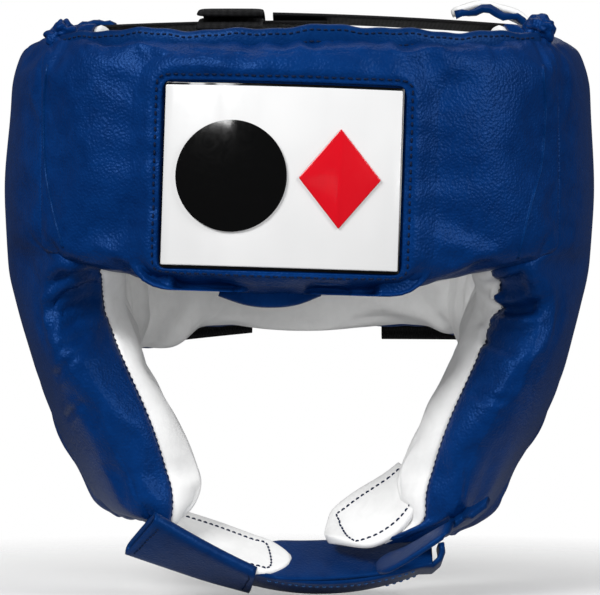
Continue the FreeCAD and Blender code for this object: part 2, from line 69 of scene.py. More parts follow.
# -------------------------------------------------------------------------------------- materials
class Finish:
    """A Principled material and the short calls that build its nodes."""

    def __init__(self, name, colour, roughness, **sockets):
        self.material = bpy.data.materials.new(name)
        self.material.use_nodes = True
        self.tree = self.material.node_tree
        self.shader = self.tree.nodes["Principled BSDF"]
        self.feed(self.shader.inputs["Base Color"], (*colour, 1))
        self.feed(self.shader.inputs["Roughness"], roughness)
        for key, value in sockets.items():
            self.feed(self.shader.inputs[key.replace("_", " ")], value)
        self.place = self.add("TexCoord").outputs["Object"]
        self.flat = self.add("UVMap").outputs["UV"]
        self.normal = None

    def feed(self, socket, value):
        if isinstance(value, bpy.types.NodeSocket):
            self.tree.links.new(value, socket)
        else:
            socket.default_value = value

    def add(self, kind, settings=(), **inputs):
        node = self.tree.nodes.new("ShaderNode" + kind)
        for key, value in dict(settings).items():
            setattr(node, key, value)
        for key, value in inputs.items():
            self.feed(node.inputs[key.replace("_", " ")], value)
        return node

    def noise(self, size_mm, detail=2.0, distortion=0.0):
        node = self.add("TexNoise", Vector=self.place, Scale=1000.0 / size_mm, Detail=detail,
                        Distortion=distortion)
        return node.outputs["Fac"]

    def cells(self, size_mm, feature="F1"):
        return self.add("TexVoronoi", {"feature": feature}, Vector=self.place,
                        Scale=1000.0 / size_mm).outputs["Distance"]

    def ramp(self, factor, *stops):
        node = self.add("ValToRGB", Fac=factor)
        elements = node.color_ramp.elements
        while len(elements) < len(stops):
            elements.new(0.5)
        for element, (position, colour) in zip(elements, stops):
            element.position = position
            element.color = (*colour, 1)
        return node.outputs["Color"]

    def span(self, value, low, high, to_low, to_high):
        node = self.add("MapRange", Value=value)
        limits = {"From Min": low, "From Max": high, "To Min": to_low, "To Max": to_high}
        for key, number in limits.items():
            node.inputs[key].default_value = number
        return node.outputs["Result"]

    def math(self, operation, a, b=0.0):
        node = self.add("Math", {"operation": operation})
        self.feed(node.inputs[0], a)
        self.feed(node.inputs[1], b)
        return node.outputs[0]

    def colour(self, socket):
        self.feed(self.shader.inputs["Base Color"], socket)

    def rough(self, socket):
        self.feed(self.shader.inputs["Roughness"], socket)

    def bump(self, height, rise_mm, strength=1.0):
        node = self.add("Bump", Height=height, Distance=rise_mm * MM, Strength=strength)
        if self.normal is not None:
            self.feed(node.inputs["Normal"], self.normal)
        self.normal = node.outputs["Normal"]
        self.feed(self.shader.inputs["Normal"], self.normal)


def leather(name, dark, light, grain_mm=0.85, rise=0.24, low_rough=0.3, high_rough=0.46, gloss=0.26,
            tint=(0.12, 0.36, 1, 1)):
    """Grained leather: pebbles with fine pores, faint broad creases, and colour that pools between."""
    skin = Finish(name, light, low_rough, Specular_IOR_Level=gloss, Specular_Tint=tint)
    pebble = skin.cells(grain_mm, "SMOOTH_F1")
    pores = skin.noise(0.55, 3.0)
    wrinkle = skin.noise(5.0, 4.0, distortion=0.7)
    broad = skin.noise(38.0, 2.0)
    mixed = skin.math("ADD", skin.math("MULTIPLY", broad, 0.55), skin.math("MULTIPLY", wrinkle, 0.45))
    skin.colour(skin.ramp(mixed, (0.32, dark), (0.68, light)))
    skin.rough(skin.span(pores, 0.3, 0.7, low_rough, high_rough))
    skin.bump(broad, 0.4, 0.6)
    skin.bump(wrinkle, 0.1, 0.7)
    skin.bump(pebble, rise, 0.9)
    skin.bump(pores, 0.05, 0.6)
    return skin.material


def woven(name, dark, light, pitch_mm, rough=0.75, rise=0.28, ribs=0.55):
    """Webbing: warp ribs along the strap and weft across it, read from the strap's own UV, in mm."""
    cloth = Finish(name, light, rough, Specular_IOR_Level=0.12)
    axes = cloth.add("SeparateXYZ", Vector=cloth.flat)
    turn = 2 * math.pi / pitch_mm
    along = cloth.math("SINE", cloth.math("MULTIPLY", axes.outputs["X"], turn))
    across = cloth.math("SINE", cloth.math("MULTIPLY", axes.outputs["Y"], turn * ribs))
    weave = cloth.math("MULTIPLY", along, across)
    height = cloth.math("ADD", cloth.math("MULTIPLY", weave, 0.5), cloth.math("MULTIPLY", across, 0.4))
    fuzz = cloth.noise(0.4, 3.0)
    tone = cloth.math("ADD", cloth.math("MULTIPLY", height, 0.35), fuzz)
    cloth.colour(cloth.ramp(tone, (0.15, dark), (0.8, light)))
    cloth.bump(height, rise, 0.9)
    cloth.bump(fuzz, 0.12, 0.5)
    return cloth.material


def pile(name, dark, light):
    """Hook-and-loop tape: a dense pile with a fine weave below it."""
    tape = Finish(name, light, 0.9, Specular_IOR_Level=0.1, Sheen_Weight=0.05, Sheen_Roughness=0.4)
    tufts = tape.cells(0.6)
    fuzz = tape.noise(0.3, 4.0, distortion=1.5)
    tape.colour(tape.ramp(tape.math("ADD", tufts, fuzz), (0.4, dark), (1.0, light)))
    tape.bump(tufts, 0.4, 0.9)
    tape.bump(fuzz, 0.25, 0.8)
    return tape.material


def moulded(name, colour, rough=0.16, wear=0.06):
    """Glossy moulded plastic with faint ripples and fine handling marks in its gloss."""
    plastic = Finish(name, colour, rough, Coat_Weight=0.25, Coat_Roughness=0.06, IOR=1.45)
    marks = plastic.noise(6.0, 6.0, distortion=2.0)
    tint = tuple(c * 0.93 for c in colour)
    plastic.colour(plastic.ramp(plastic.noise(30.0), (0.3, tint), (0.7, colour)))
    plastic.rough(plastic.span(marks, 0.35, 0.75, rough, rough + wear))
    plastic.bump(plastic.noise(14.0), 0.05, 0.5)
    return plastic.material


def twisted(name, dark, light):
    """Sewing thread: two plies seen as slanting bands."""
    thread = Finish(name, light, 0.6, Specular_IOR_Level=0.15)
    twist = thread.add("TexWave", {"bands_direction": "DIAGONAL"}, Vector=thread.place, Scale=900.0)
    thread.colour(thread.ramp(twist.outputs["Fac"], (0.2, dark), (0.8, light)))
    thread.bump(twist.outputs["Fac"], 0.06, 0.8)
    return thread.material


BLUE = leather("grained_blue_leather", (0.0009, 0.0165, 0.088), (0.0018, 0.029, 0.142))
BLUE_STRAP = leather("strap_blue_leather", (0.0008, 0.014, 0.072), (0.0017, 0.026, 0.118), 0.8, 0.13)
WHITE = leather("smooth_white_lining", (0.74, 0.74, 0.735), (0.84, 0.84, 0.835), 1.3, 0.03, 0.5, 0.62, 0.3,
                (1, 1, 1, 1))
WEBBING = woven("black_woven_webbing", (0.002, 0.002, 0.0022), (0.011, 0.011, 0.012), 1.5)
ELASTIC = woven("black_ribbed_elastic", (0.002, 0.002, 0.0022), (0.013, 0.013, 0.014), 1.1, 0.8, 0.35, 0.35)
PILE = pile("hook_and_loop_pile", (0.004, 0.004, 0.005), (0.035, 0.035, 0.04))
BADGE_WHITE = moulded("badge_white_plastic", (0.74, 0.74, 0.74))
BADGE_BLACK = moulded("badge_black_plastic", (0.0012, 0.0012, 0.0012), 0.1)
BADGE_RED = moulded("badge_red_plastic", (0.62, 0.004, 0.012), 0.14)
BLUE_THREAD = twisted("navy_thread", (0.001, 0.005, 0.022), (0.003, 0.014, 0.055))
PALE_THREAD = twisted("light_blue_thread", (0.01, 0.05, 0.17), (0.05, 0.15, 0.36))


# -------------------------------------------------------------------------------- mesh building
def make(name, points_mm, quads, *materials, uv=None):
    mesh = bpy.data.meshes.new(name)
    mesh.from_pydata([tuple(p) for p in np.asarray(points_mm) * MM], [], [tuple(q) for q in quads])
    mesh.validate()
    for material in materials:
        mesh.materials.append(material)
    if uv is not None:
        layer = mesh.uv_layers.new(name="UVMap")
        for loop in mesh.loops:
            layer.data[loop.index].uv = uv[loop.vertex_index]
    mesh.shade_smooth()
    obj = bpy.data.objects.new(name, mesh)
    bpy.context.scene.collection.objects.link(obj)
    return obj


def face_out(obj):
    work = bmesh.new()
    work.from_mesh(obj.data)
    bmesh.ops.recalc_face_normals(work, faces=work.faces)
    work.to_mesh(obj.data)
    work.free()


def points_of(obj):
    flat = np.zeros(len(obj.data.vertices) * 3)
    obj.data.vertices.foreach_get("co", flat)
    return flat.reshape(-1, 3) / MM


def put_points(obj, points_mm):
    obj.data.vertices.foreach_set("co", (np.asarray(points_mm) * MM).ravel())
    obj.data.update()


def normals_of(obj):
    flat = np.zeros(len(obj.data.vertices) * 3, np.float32)
    obj.data.vertices.foreach_get("normal", flat)
    return flat.reshape(-1, 3).astype(float)


def push_out(obj, amounts):
    """Moves each point along its normal by its own amount."""
    put_points(obj, points_of(obj) + normals_of(obj) * np.asarray(amounts)[:, None])


def apply_modifiers(obj):
    graph = bpy.context.evaluated_depsgraph_get()
    shown = obj.evaluated_get(graph)
    fresh = bpy.data.meshes.new_from_object(shown, preserve_all_data_layers=True, depsgraph=graph)
    old = obj.data
    obj.modifiers.clear()
    obj.data = fresh
    fresh.name = obj.name
    bpy.data.meshes.remove(old)
    fresh.shade_smooth()


def refine(obj, levels=1):
    modifier = obj.modifiers.new("refine", "SUBSURF")
    modifier.levels = modifier.render_levels = levels
    apply_modifiers(obj)


def skin(obj, thick_mm):
    """Gives an open shell its thickness, inwards."""
    modifier = obj.modifiers.new("thickness", "SOLIDIFY")
    modifier.thickness = thick_mm * MM
    modifier.offset = -1
    return obj


def smooth_step(x, low, high):
    share = np.clip((np.asarray(x, float) - low) / (high - low), 0, 1)
    return share * share * (3 - 2 * share)


def through(x, places, values):
    """A smooth curve through given values that doesn't overshoot them."""
    places, values = np.asarray(places, float), np.asarray(values, float)
    rise = np.diff(values) / np.diff(places)
    slope = np.zeros(len(values))
    slope[0], slope[-1] = rise[0], rise[-1]
    same = rise[1:] * rise[:-1] > 0
    safe = np.where(same, rise[1:] + rise[:-1], 1)
    slope[1:-1] = np.where(same, 2 * rise[1:] * rise[:-1] / safe, 0)
    x = np.clip(x, places[0], places[-1])
    i = np.clip(np.searchsorted(places, x) - 1, 0, len(places) - 2)
    width = places[i + 1] - places[i]
    t = (x - places[i]) / width
    a, b = values[i], values[i + 1]
    low = (1 + 2 * t) * (1 - t) ** 2 * a + t * (1 - t) ** 2 * width * slope[i]
    return low + t * t * (3 - 2 * t) * b + t * t * (t - 1) * width * slope[i + 1]


def rounded(x, y, x_span, y_span, radius):
    """Moves points of a rectangle so that its corners become arcs.  The radius may differ by point."""
    moved = []
    for value, (low, high) in ((x, x_span), (y, y_span)):
        reach = np.minimum(radius, (high - low) / 2)
        inner = np.clip(value, low + reach, high - reach)
        moved.append((inner, value - inner))
    (inner_x, off_x), (inner_y, off_y) = moved
    square = np.maximum(np.abs(off_x), np.abs(off_y))
    length = np.hypot(off_x, off_y)
    factor = np.where(length > 1e-9, square / np.maximum(length, 1e-9), 1)
    return inner_x + off_x * factor, inner_y + off_y * factor


def spread(count, even=0.45):
    """Shares from 0 to 1 that are closer together near both ends."""
    t = np.arange(count + 1) / count
    return t - even * np.sin(2 * math.pi * t) / (2 * math.pi)


def lattice(rows, across, closed=False, round_across=True, start=0):
    """Quads between rows of points, each row a ring unless round_across is off."""
    quads = []
    for i in range(rows if closed else rows - 1):
        for j in range(across if round_across else across - 1):
            here, there = start + i * across, start + (i + 1) % rows * across
            after = (j + 1) % across
            quads.append((here + j, here + after, there + after, there + j))
    return quads


def block(counts):
    """Index triples of the points on a block's surface, and its quads."""
    found, triples, quads = {}, [], []
    for axis in range(3):
        u, v = (axis + 1) % 3, (axis + 2) % 3
        for side in (0, counts[axis]):
            for a in range(counts[u]):
                for b in range(counts[v]):
                    corner = []
                    for step_a, step_b in ((0, 0), (1, 0), (1, 1), (0, 1)):
                        index = [0, 0, 0]
                        index[axis], index[u], index[v] = side, a + step_a, b + step_b
                        index = tuple(index)
                        if index not in found:
                            found[index] = len(triples)
                            triples.append(index)
                        corner.append(found[index])
                    quads.append(corner)
    return np.array(triples), quads


# ------------------------------------------------------------------------------------ padded shells
DEPTH_STEPS = 6
SEAM_STEP = 4                      # the depth step at which leather meets lining
SEAM = SEAM_STEP / DEPTH_STEPS
BROW = {"axis": 7.0, "rad": 130.0, "thick": 28.0, "angle": 44.6, "low": 0.0, "tall": 91.5, "way": -1}
REAR = {"axis": 19.6, "rad": 101.5, "thick": 25.0, "angle": 58.5, "low": -12.0, "tall": 101.0, "way": 1}
BADGE = {"angle": 18.2, "turn": -2.85, "tilt": 1.8, "low": 9.0, "tall": 63.5}
BROW_LIFT = 15.0                   # how much higher the brow's lower edge is at its ends
SIDE_KEYS = ("level", "x", "y", "head", "chord", "rad", "thick", "swell", "cut_front", "cut_rear")
SIDE_STATIONS = np.array([
    # the same stations as the frame's side pads: front corner, heading, chord, radius, thickness
    (-87, 51, -75, 21, 42, 70, 9, 0, 0.2, 0.2),
    (-77, 55.5, -82, 20, 60, 80, 17, 0, 0.2, 0.2),
    (-62, 61, -86, 18, 78, 100, 25, 0, 0.3, 0.2),
    (-42, 71, -90, 13, 106, 145, 26, 1, 0.4, 0.2),
    (-22, 82, -91, 6, 136, 190, 25, 3, 0.6, 0.3),
    (-4, 89.6, -83.4, 0, 150, 168, 21, 8, 1.03, 0.5),
    (12, 91.8, -85, -1.5, 156, 152, 20.5, 9, 1.07, 0.6),
    (74, 91.8, -85, -1.5, 156, 152, 20.5, 9, 1.07, 0.6),
    (91, 87, -80, -1.5, 149, 152, 18, 8, 1.07, 0.6),
    (97.5, 80, -73, -1.5, 139, 152, 12, 5, 1.07, 0.6),
]).T
LEVELS = SIDE_STATIONS[0]
EAR = {"y": 10.0, "z": 6.0, "rad": 18.0}
FRONT_SEAM = ((-87, -75, -64, -42, -22, 0, 10, 20), (0.5, 0.5, 0.5, 0.6, 0.68, 0.7, 0.52, 0.6))
NARROW = {                         # how much slimmer each side is than its foam, by level
    1: ((-87, -76, -60, -42, -25, -8, 8, 40, 76, 93), (4.0, 8.6, 7.6, 6.2, 4.9, 6.6, 8.2, 5.6, 7.8, 4.2)),
    -1: ((-87, -76, -60, -42, -25, -8, 8, 40, 76, 93), (5.5, 5.8, 5.6, 5.6, 4.9, 5.4, 6.8, 4.9, 9.0, 5.0)),
}
REAR_LAP = 16.0                    # how far the sides' lining laps round towards the rear pad
LINING_PUFF = 5.5                  # how much fuller the soft lining stands on the cheeks
TOE = 22.0                         # how far the left cheek's lower end turns in under the chin
TUCKED = 6.5                       # how much of the right cheek's end the chin strap's sleeve hides
CLOTH_FRAMES = 20
CORNER = {"low": -22.0, "high": 12.0, "reach": 26.0}


def seam_share(step, share):
    """Depth, as a share of the thickness, with the seam line moved to the given share."""
    return np.where(step <= SEAM, step / SEAM * share, share + (step - SEAM) / (1 - SEAM) * (1 - share))


def ring_shape(pad, along, depth_step, up):
    """Points of the brow or rear pad from shares along it, through it and up it."""
    end = 0.8
    length = math.radians(pad["angle"]) * pad["rad"]
    thick, tall = pad["thick"], pad["tall"]
    away = np.abs(along * 2 - 1)
    depth = seam_share(depth_step, 0.62 - 0.34 * smooth_step(away, 0.9, 0.985)) * thick
    s, z = (along * 2 - 1) * length, up * tall
    outer_low, inner_low, outer_top, inner_top = 12.0, 9.0, 13.0, 7.0
    if pad is BROW:
        outer_low = outer_low - 6.0 * smooth_step(away, 0.6, 0.98)
    radius = np.where(up < 0.5, np.where(depth_step < 0.5, outer_low, inner_low),
                      np.where(depth_step < 0.5, outer_top, inner_top))
    z, depth = rounded(z, depth, (0, tall), (0, thick), radius)
    s, depth = rounded(s, depth, (-length, length), (0, thick), end)
    if pad is BROW:
        ends = np.abs(s) / length
        z = z + BROW_LIFT * ends**1.8 * (1 - up) ** 1.6
    else:
        degrees = np.degrees(s / pad["rad"])
        lobe = 8.5 * (1 - smooth_step(degrees, -38, -27)) + 3.0 * smooth_step(degrees, 36, 44)
        z = z - lobe * (1 - up) ** 3
    angle = s / pad["rad"]
    reach = pad["rad"] - depth
    return np.stack([reach * np.sin(angle), pad["axis"] + pad["way"] * reach * np.cos(angle),
                     pad["low"] + z], axis=1)


def side_seam(side, level, along):
    """How deep the seam lies in a side pad, as a share of its thickness."""
    share = through(level, *FRONT_SEAM)
    if side > 0:                                    # the turned-in end is all leather
        share = share + (0.92 - share) * (1 - smooth_step(level, -88, -78))
    return share + (0.3 - share) * smooth_step(along, 0.45, 0.6)


def arched(s, share_along, depth):
    """Places across and inwards of points in a pad's section, once it is bowed over the head."""
    chord = s["chord"] - (s["cut_front"] + s["cut_rear"]) * depth
    bow = s["rad"] - np.sqrt(s["rad"] ** 2 - chord**2 / 4) - s["swell"] * depth / s["thick"]
    rad = (chord**2 / 4 + bow**2) / (2 * bow)
    middle = (share_along - 0.5) * chord
    arch = np.sqrt(rad**2 - middle**2) - (rad - bow)
    lap = REAR_LAP * smooth_step(share_along, 0.8, 1) * smooth_step(depth / s["thick"], 0.3, 0.75)
    return s["cut_front"] * depth + share_along * chord + lap * 0.86, depth - arch + lap * 0.5


def drawn_in(side, px, py, level, along, up_level):
    """The section made slimmer, with its lower end turned in and its corner below the brow rounded."""
    if side > 0:
        turned_in = (1 - smooth_step(up_level, -92, -77)) * (1 - 0.6 * smooth_step(along, 0, 0.7))
        px = px - TOE * turned_in
    # below the brow the front end reaches forward under it, so that the opening has a rounded corner
    rise = np.clip((up_level - CORNER["low"]) / (CORNER["high"] - CORNER["low"]), 0, 1)
    reach = (1 - np.sqrt(1 - rise**2)) * (1 - smooth_step(up_level, CORNER["high"], CORNER["high"] + 5))
    turn = -reach * CORNER["reach"] / BROW["rad"] * (1 - smooth_step(along, 0.0, 0.35))
    slimmer = (0.2 + 0.8 * smooth_step(along, 0, 0.6)) * (1 - 0.75 * smooth_step(along, 0.78, 1))
    off_x = px - through(level, *NARROW[side]) * slimmer
    off_y = py - BROW["axis"]
    return (off_x * np.cos(turn) - off_y * np.sin(turn),
            off_x * np.sin(turn) + off_y * np.cos(turn) + BROW["axis"])


def side_shape(side, along, depth_step, up):
    """Points of a side pad: an arched section at each level, between stations."""
    low, high = LEVELS[0] + (TUCKED if side < 0 else 0), LEVELS[-1]
    level = low + up * (high - low)
    s = {key: through(level, LEVELS, row) for key, row in zip(SIDE_KEYS, SIDE_STATIONS)}
    puff = LINING_PUFF * smooth_step(level, -88, -72) * (1 - smooth_step(level, -12, 14))
    s["thick"] = s["thick"] + puff * (1 - 0.6 * smooth_step(along, 0.3, 0.9))
    depth = seam_share(depth_step, side_seam(side, level, along)) * s["thick"]
    front = 0.8 + 8.7 * (1 - smooth_step(level, 13, 21))
    rear = 2.0 + 7.0 * (1 - smooth_step(level, -30, -10))
    ends = np.where(along < 0.5, front, rear)
    top_low = np.where(up < 0.5, 6.0, np.where(depth_step < 0.5, 9.0, 5.0))
    z, depth = rounded(level - low, depth, (0, high - low), (0, s["thick"]), top_low)
    x, depth = rounded(along * s["chord"], depth, (0, s["chord"]), (0, s["thick"]), ends)
    across, inward = arched(s, x / s["chord"], depth)
    head = np.radians(s["head"])
    px = s["x"] + across * np.sin(head) - inward * np.cos(head)
    py = s["y"] + across * np.cos(head) + inward * np.sin(head)
    px, py = drawn_in(side, px, py, level, along, low + z)
    return np.stack([px * side, py, low + z], axis=1)


def padded_block(name, counts, shape):
    """A closed padded form that remembers how deep each point lies (0 outside, 1 towards the head)."""
    triples, quads = block(counts)
    along, up = spread(counts[0])[triples[:, 0]], spread(counts[2])[triples[:, 2]]
    step = triples[:, 1] / counts[1]
    obj = make(name, shape(along, step, up), quads)
    for key, values in (("step", step), ("along", along), ("up", up)):
        attribute = obj.data.attributes.new(key, "FLOAT", "POINT")
        attribute.data.foreach_set("value", values.astype(np.float32))
    face_out(obj)
    return obj


def kept(obj, key):
    values = np.zeros(len(obj.data.vertices), np.float32)
    obj.data.attributes[key].data.foreach_get("value", values)
    return values.astype(float)


def inflate(obj, held, pressure, cap_mm):
    """Cloth simulation under pressure, with some points held and every move capped."""
    rest = points_of(obj)
    group = obj.vertex_groups.new(name="held")
    for index, weight in enumerate(held):
        if weight > 0.01:
            group.add([index], float(weight), "REPLACE")
    cloth = obj.modifiers.new("Cloth", "CLOTH")
    settings = cloth.settings
    settings.quality = 5
    settings.mass = 0.25
    settings.tension_stiffness = settings.compression_stiffness = 12
    settings.shear_stiffness = 4
    settings.bending_stiffness = 0.4
    settings.use_pressure = True
    settings.uniform_pressure_force = pressure
    settings.shrink_min = -0.03
    settings.vertex_group_mass = group.name
    settings.effector_weights.gravity = 0
    cloth.collision_settings.use_collision = False
    cloth.point_cache.frame_start, cloth.point_cache.frame_end = 1, CLOTH_FRAMES
    scene = bpy.context.scene
    for number in range(1, CLOTH_FRAMES + 1):
        scene.frame_set(number)
    apply_modifiers(obj)
    scene.frame_set(1)
    moved = points_of(obj) - rest
    length = np.linalg.norm(moved, axis=1)
    cap = np.minimum(1, cap_mm / np.maximum(length, 1e-9))
    put_points(obj, rest + moved * cap[:, None])
    obj.vertex_groups.clear()


def line_distance(points, line):
    """How far each point is from a line of points, and how far along it (0 to 1) the nearest place is."""
    line = np.asarray(line, float)
    steps = np.linalg.norm(np.diff(line, axis=0), axis=1)
    starts = np.concatenate([[0], np.cumsum(steps)])
    best, place = np.full(len(points), 1e9), np.zeros(len(points))
    for i, length in enumerate(steps):
        direction = (line[i + 1] - line[i]) / length
        t = np.clip((points - line[i]) @ direction, 0, length)
        away = np.linalg.norm(points - line[i] - t[:, None] * direction, axis=1)
        closer = away < best
        best = np.where(closer, away, best)
        place = np.where(closer, (starts[i] + t) / starts[-1], place)
    return best, place


def fold(obj, line, width, depth):
    """Presses a valley along a line in the leather, with a soft ridge on each side."""
    ridge, fade = 0.45, 0.25
    away, place = line_distance(points_of(obj), line)
    ends = smooth_step(place, 0, fade) * (1 - smooth_step(place, 1 - fade, 1))
    valley = np.exp(-((away / width) ** 2))
    side = np.exp(-(((away - 2.0 * width) / width) ** 2)) * ridge
    push_out(obj, (side - valley) * depth * ends)


def surface_tree(*objects):
    """A search tree over the surfaces as they show, in millimetres."""
    graph = bpy.context.evaluated_depsgraph_get()
    vertices, faces = [], []
    for obj in objects:
        mesh = obj.evaluated_get(graph).to_mesh()
        start = len(vertices)
        vertices += [v.co / MM for v in mesh.vertices]
        faces += [[start + i for i in p.vertices] for p in mesh.polygons]
    return BVHTree.FromPolygons(vertices, faces)


def hit(tree, origin, direction):
    place, normal, _, _ = tree.ray_cast(Vector(origin), Vector(direction).normalized())
    return place, normal


def on_front(tree, outline):
    """The points of the surface that a viewer in front sees at these (x, z) places."""
    eye = np.array([0.0, -1300.0, 0.0])
    found = []
    for x, z in outline:
        place, _ = hit(tree, eye, np.array([x, 0.0, z]) - eye)
        if place is not None:
            found.append(np.array(place))
    return found


def press_folds(obj, folds):
    """folds: (width, depth, outline in the front view) for each valley."""
    tree = surface_tree(obj)
    for width, depth, outline in folds:
        line = on_front(tree, smooth_line(outline, 8))
        if len(line) > 1:
            fold(obj, line, width, depth)


def smooth_line(corners, per_span=8):
    """A smooth line (Catmull-Rom) through a few given points, in any number of dimensions."""
    p = np.asarray(corners, float)
    p = np.vstack([2 * p[0] - p[1], p, 2 * p[-1] - p[-2]])
    found = []
    for i in range(1, len(p) - 2):
        for t in np.arange(per_span) / per_span:
            a, b = 2 * p[i], p[i + 1] - p[i - 1]
            c = 2 * p[i - 1] - 5 * p[i] + 4 * p[i + 1] - p[i + 2]
            d = -p[i - 1] + 3 * p[i] - 3 * p[i + 1] + p[i + 2]
            found.append((a + b * t + c * t**2 + d * t**3) / 2)
    found.append(p[-2])
    return np.array(found)


def evenly(line, pitch, closed=False):
    """Points along a line at an even pitch."""
    line = np.asarray(line, float)
    if closed:
        line = np.vstack([line, line[:1]])
    starts = np.concatenate([[0], np.cumsum(np.linalg.norm(np.diff(line, axis=0), axis=1))])
    count = max(2, int(round(starts[-1] / pitch)))
    places = np.linspace(0, starts[-1], count + 1)[: count if closed else count + 1]
    return np.stack([np.interp(places, starts, line[:, i]) for i in range(line.shape[1])], axis=1)


def stitches(name, rows, material, pitch=3.0, share=0.68, thick=0.75):
    """Thread stitches, sunk at their ends, along rows of (points, normals) on a surface."""
    sides = 6
    # rings of one stitch: place along it, width, and lift off the surface in mm
    rings = ((0.0, 0.5, -0.35), (0.12, 0.9, 0.05), (0.5, 1.0, 0.22), (0.88, 0.9, 0.05), (1.0, 0.5, -0.35))
    points, quads = [], []
    for line, normals in rows:
        for a, after, up in zip(line[:-1], line[1:], normals):
            b = a + (after - a) * share
            length = np.linalg.norm(b - a)
            if length < 1e-6 or length > 3 * pitch:
                continue
            side = np.cross((b - a) / length, up)
            side /= max(np.linalg.norm(side), 1e-9)
            start = len(points)
            for place, width, lift in rings:
                centre = a + (b - a) * place + up * lift
                for angle in 2 * math.pi * np.arange(sides) / sides:
                    out = side * math.cos(angle) + up * math.sin(angle)
                    points.append(centre + out * thick / 2 * width)
            quads += lattice(len(rings), sides, start=start)
            quads.append([start + turn for turn in range(sides)][::-1])
            quads.append([start + (len(rings) - 1) * sides + turn for turn in range(sides)])
    obj = make(name, points, quads, material)
    return obj


def laid(tree, line, lift=0.0):
    """A line's points moved onto the nearest surface within 12 mm, with the surface's normals there."""
    points, normals = [], []
    for p in line:
        place, normal, _, away = tree.find_nearest(Vector(p))
        if place is None or away > 12:
            continue
        points.append(np.array(place) + np.array(normal) * lift)
        normals.append(np.array(normal))
    return np.array(points), np.array(normals)


def split_pad(obj, word, cut=None):
    """Parts a finished pad into its leather cover and its lining, along the seam."""
    step = kept(obj, "step")
    pieces = []
    for part, inside in (("leather", False), ("inner_lining", True)):
        piece = obj.copy()
        piece.data = obj.data.copy()
        piece.name = piece.data.name = f"{word}_{part}"
        bpy.context.scene.collection.objects.link(piece)
        work = bmesh.new()
        work.from_mesh(piece.data)
        work.verts.ensure_lookup_table()
        gone = []
        for face in work.faces:
            middle = sum(step[v.index] for v in face.verts) / len(face.verts)
            in_hole = cut and cut(face.calc_center_median() / MM)
            if (middle > SEAM) != inside or in_hole:
                gone.append(face)
        bmesh.ops.delete(work, geom=gone, context="FACES")
        work.to_mesh(piece.data)
        work.free()
        piece.data.materials.clear()
        piece.data.materials.append(WHITE if inside else BLUE)
        piece.data.shade_smooth()
        pieces.append(piece)
    bpy.data.objects.remove(obj)
    return pieces


def boundary(obj):
    """The longest open edge loop of a shell, in order, with its normals."""
    work = bmesh.new()
    work.from_mesh(obj.data)
    work.edges.index_update()
    edges = {e.index: e for e in work.edges if e.is_boundary}  # by index, so that each run starts alike
    loops = []
    while edges:
        edge = edges.pop(min(edges))
        chain = [edge.verts[0], edge.verts[1]]
        while True:
            step = next((e for e in chain[-1].link_edges if e.index in edges), None)
            if step is None:
                break
            del edges[step.index]
            chain.append(step.other_vert(chain[-1]))
        loops.append([(np.array(v.co) / MM, np.array(v.normal)) for v in chain])
    work.free()
    longest = max(loops, key=len)
    return np.array([p for p, _ in longest]), np.array([n for _, n in longest])


def seam_groove(obj):
    """Draws the leather in along the line where it meets the lining."""
    away = np.abs(kept(obj, "step") - SEAM) * 30.0  # about the distance in mm
    push_out(obj, -0.9 * np.exp(-((away / 1.3) ** 2)))


def puckers(obj, where, depth):
    """Uneven small gathers, longer down than across.  where gives each point's share of them."""
    waves = []
    for x, y, z in points_of(obj):
        slanted = x + 0.35 * z
        waves.append(noise.noise(Vector((slanted / 5.5, y / 40, z / 16))) * 1.5
                     + noise.noise(Vector((slanted / 2.4, y / 30, z / 9 + 7))) * 0.6)
    push_out(obj, np.array(waves) * depth * where)


# --------------------------------------------------------------------------------------- straps
def strap(name, line, widths, thick, material, body=None, round_end=0.0, tube=None, lumps=0.0):
    """A flat strap along a line of centres.  widths gives its full width as a vector at each centre.
    With tube set it is a flattened sleeve of that wall, open at both ends."""
    line, widths = np.asarray(line, float), np.asarray(widths, float)
    tangents = np.gradient(line, axis=0)
    tangents /= np.linalg.norm(tangents, axis=1)[:, None]
    places = np.concatenate([[0], np.cumsum(np.linalg.norm(np.diff(line, axis=0), axis=1))])
    turns = 20
    cosines, sines = (f(2 * math.pi * np.arange(turns) / turns) for f in (np.cos, np.sin))
    across = np.sign(cosines) * np.abs(cosines) ** 0.35
    through_it = np.sign(sines) * np.abs(sines) ** 0.55
    points, uv = [], []
    for place, centre, wide, along in zip(places, line, widths, tangents):
        full = np.linalg.norm(wide)
        side = wide / full
        up = np.cross(along, side)
        up /= np.linalg.norm(up)
        if round_end:
            left = min(places[-1] - place, round_end)
            full *= math.sqrt(max(0.02, 1 - (1 - left / round_end) ** 2))
        for u, v in zip(across, through_it):
            wave = lumps * math.sin(place * 1.9 + u * 3) * (0.4 + abs(u))
            points.append(centre + side * u * full / 2 + up * (v * thick / 2 + wave))
            uv.append((place, u * full / 2))
    quads = lattice(len(line), turns)
    if not tube:
        quads.append(list(range(turns))[::-1])
        quads.append([(len(line) - 1) * turns + turn for turn in range(turns)])
    obj = make(name, points, quads, material, uv=uv)
    face_out(obj)
    if tube:
        skin(obj, tube)
    if body:
        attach(obj, body)
    return obj


def arc(a, b, radius, bulge, count=24):
    """Points on the arc from a to b in a plane, as the frame's straps are drawn."""
    a, b = np.asarray(a, float), np.asarray(b, float)
    half = np.linalg.norm(b - a) / 2
    along = (b - a) / (2 * half)
    out = np.array([-along[1], along[0]]) * bulge
    middle = (a + b) / 2 - out * math.sqrt(radius**2 - half**2)
    start = math.atan2(*(a - middle)[::-1])
    sweep = math.atan2(*(b - middle)[::-1]) - start
    sweep = (sweep + math.pi) % (2 * math.pi) - math.pi
    angles = start + sweep * np.arange(count + 1) / count
    return middle + radius * np.stack([np.cos(angles), np.sin(angles)], axis=1)


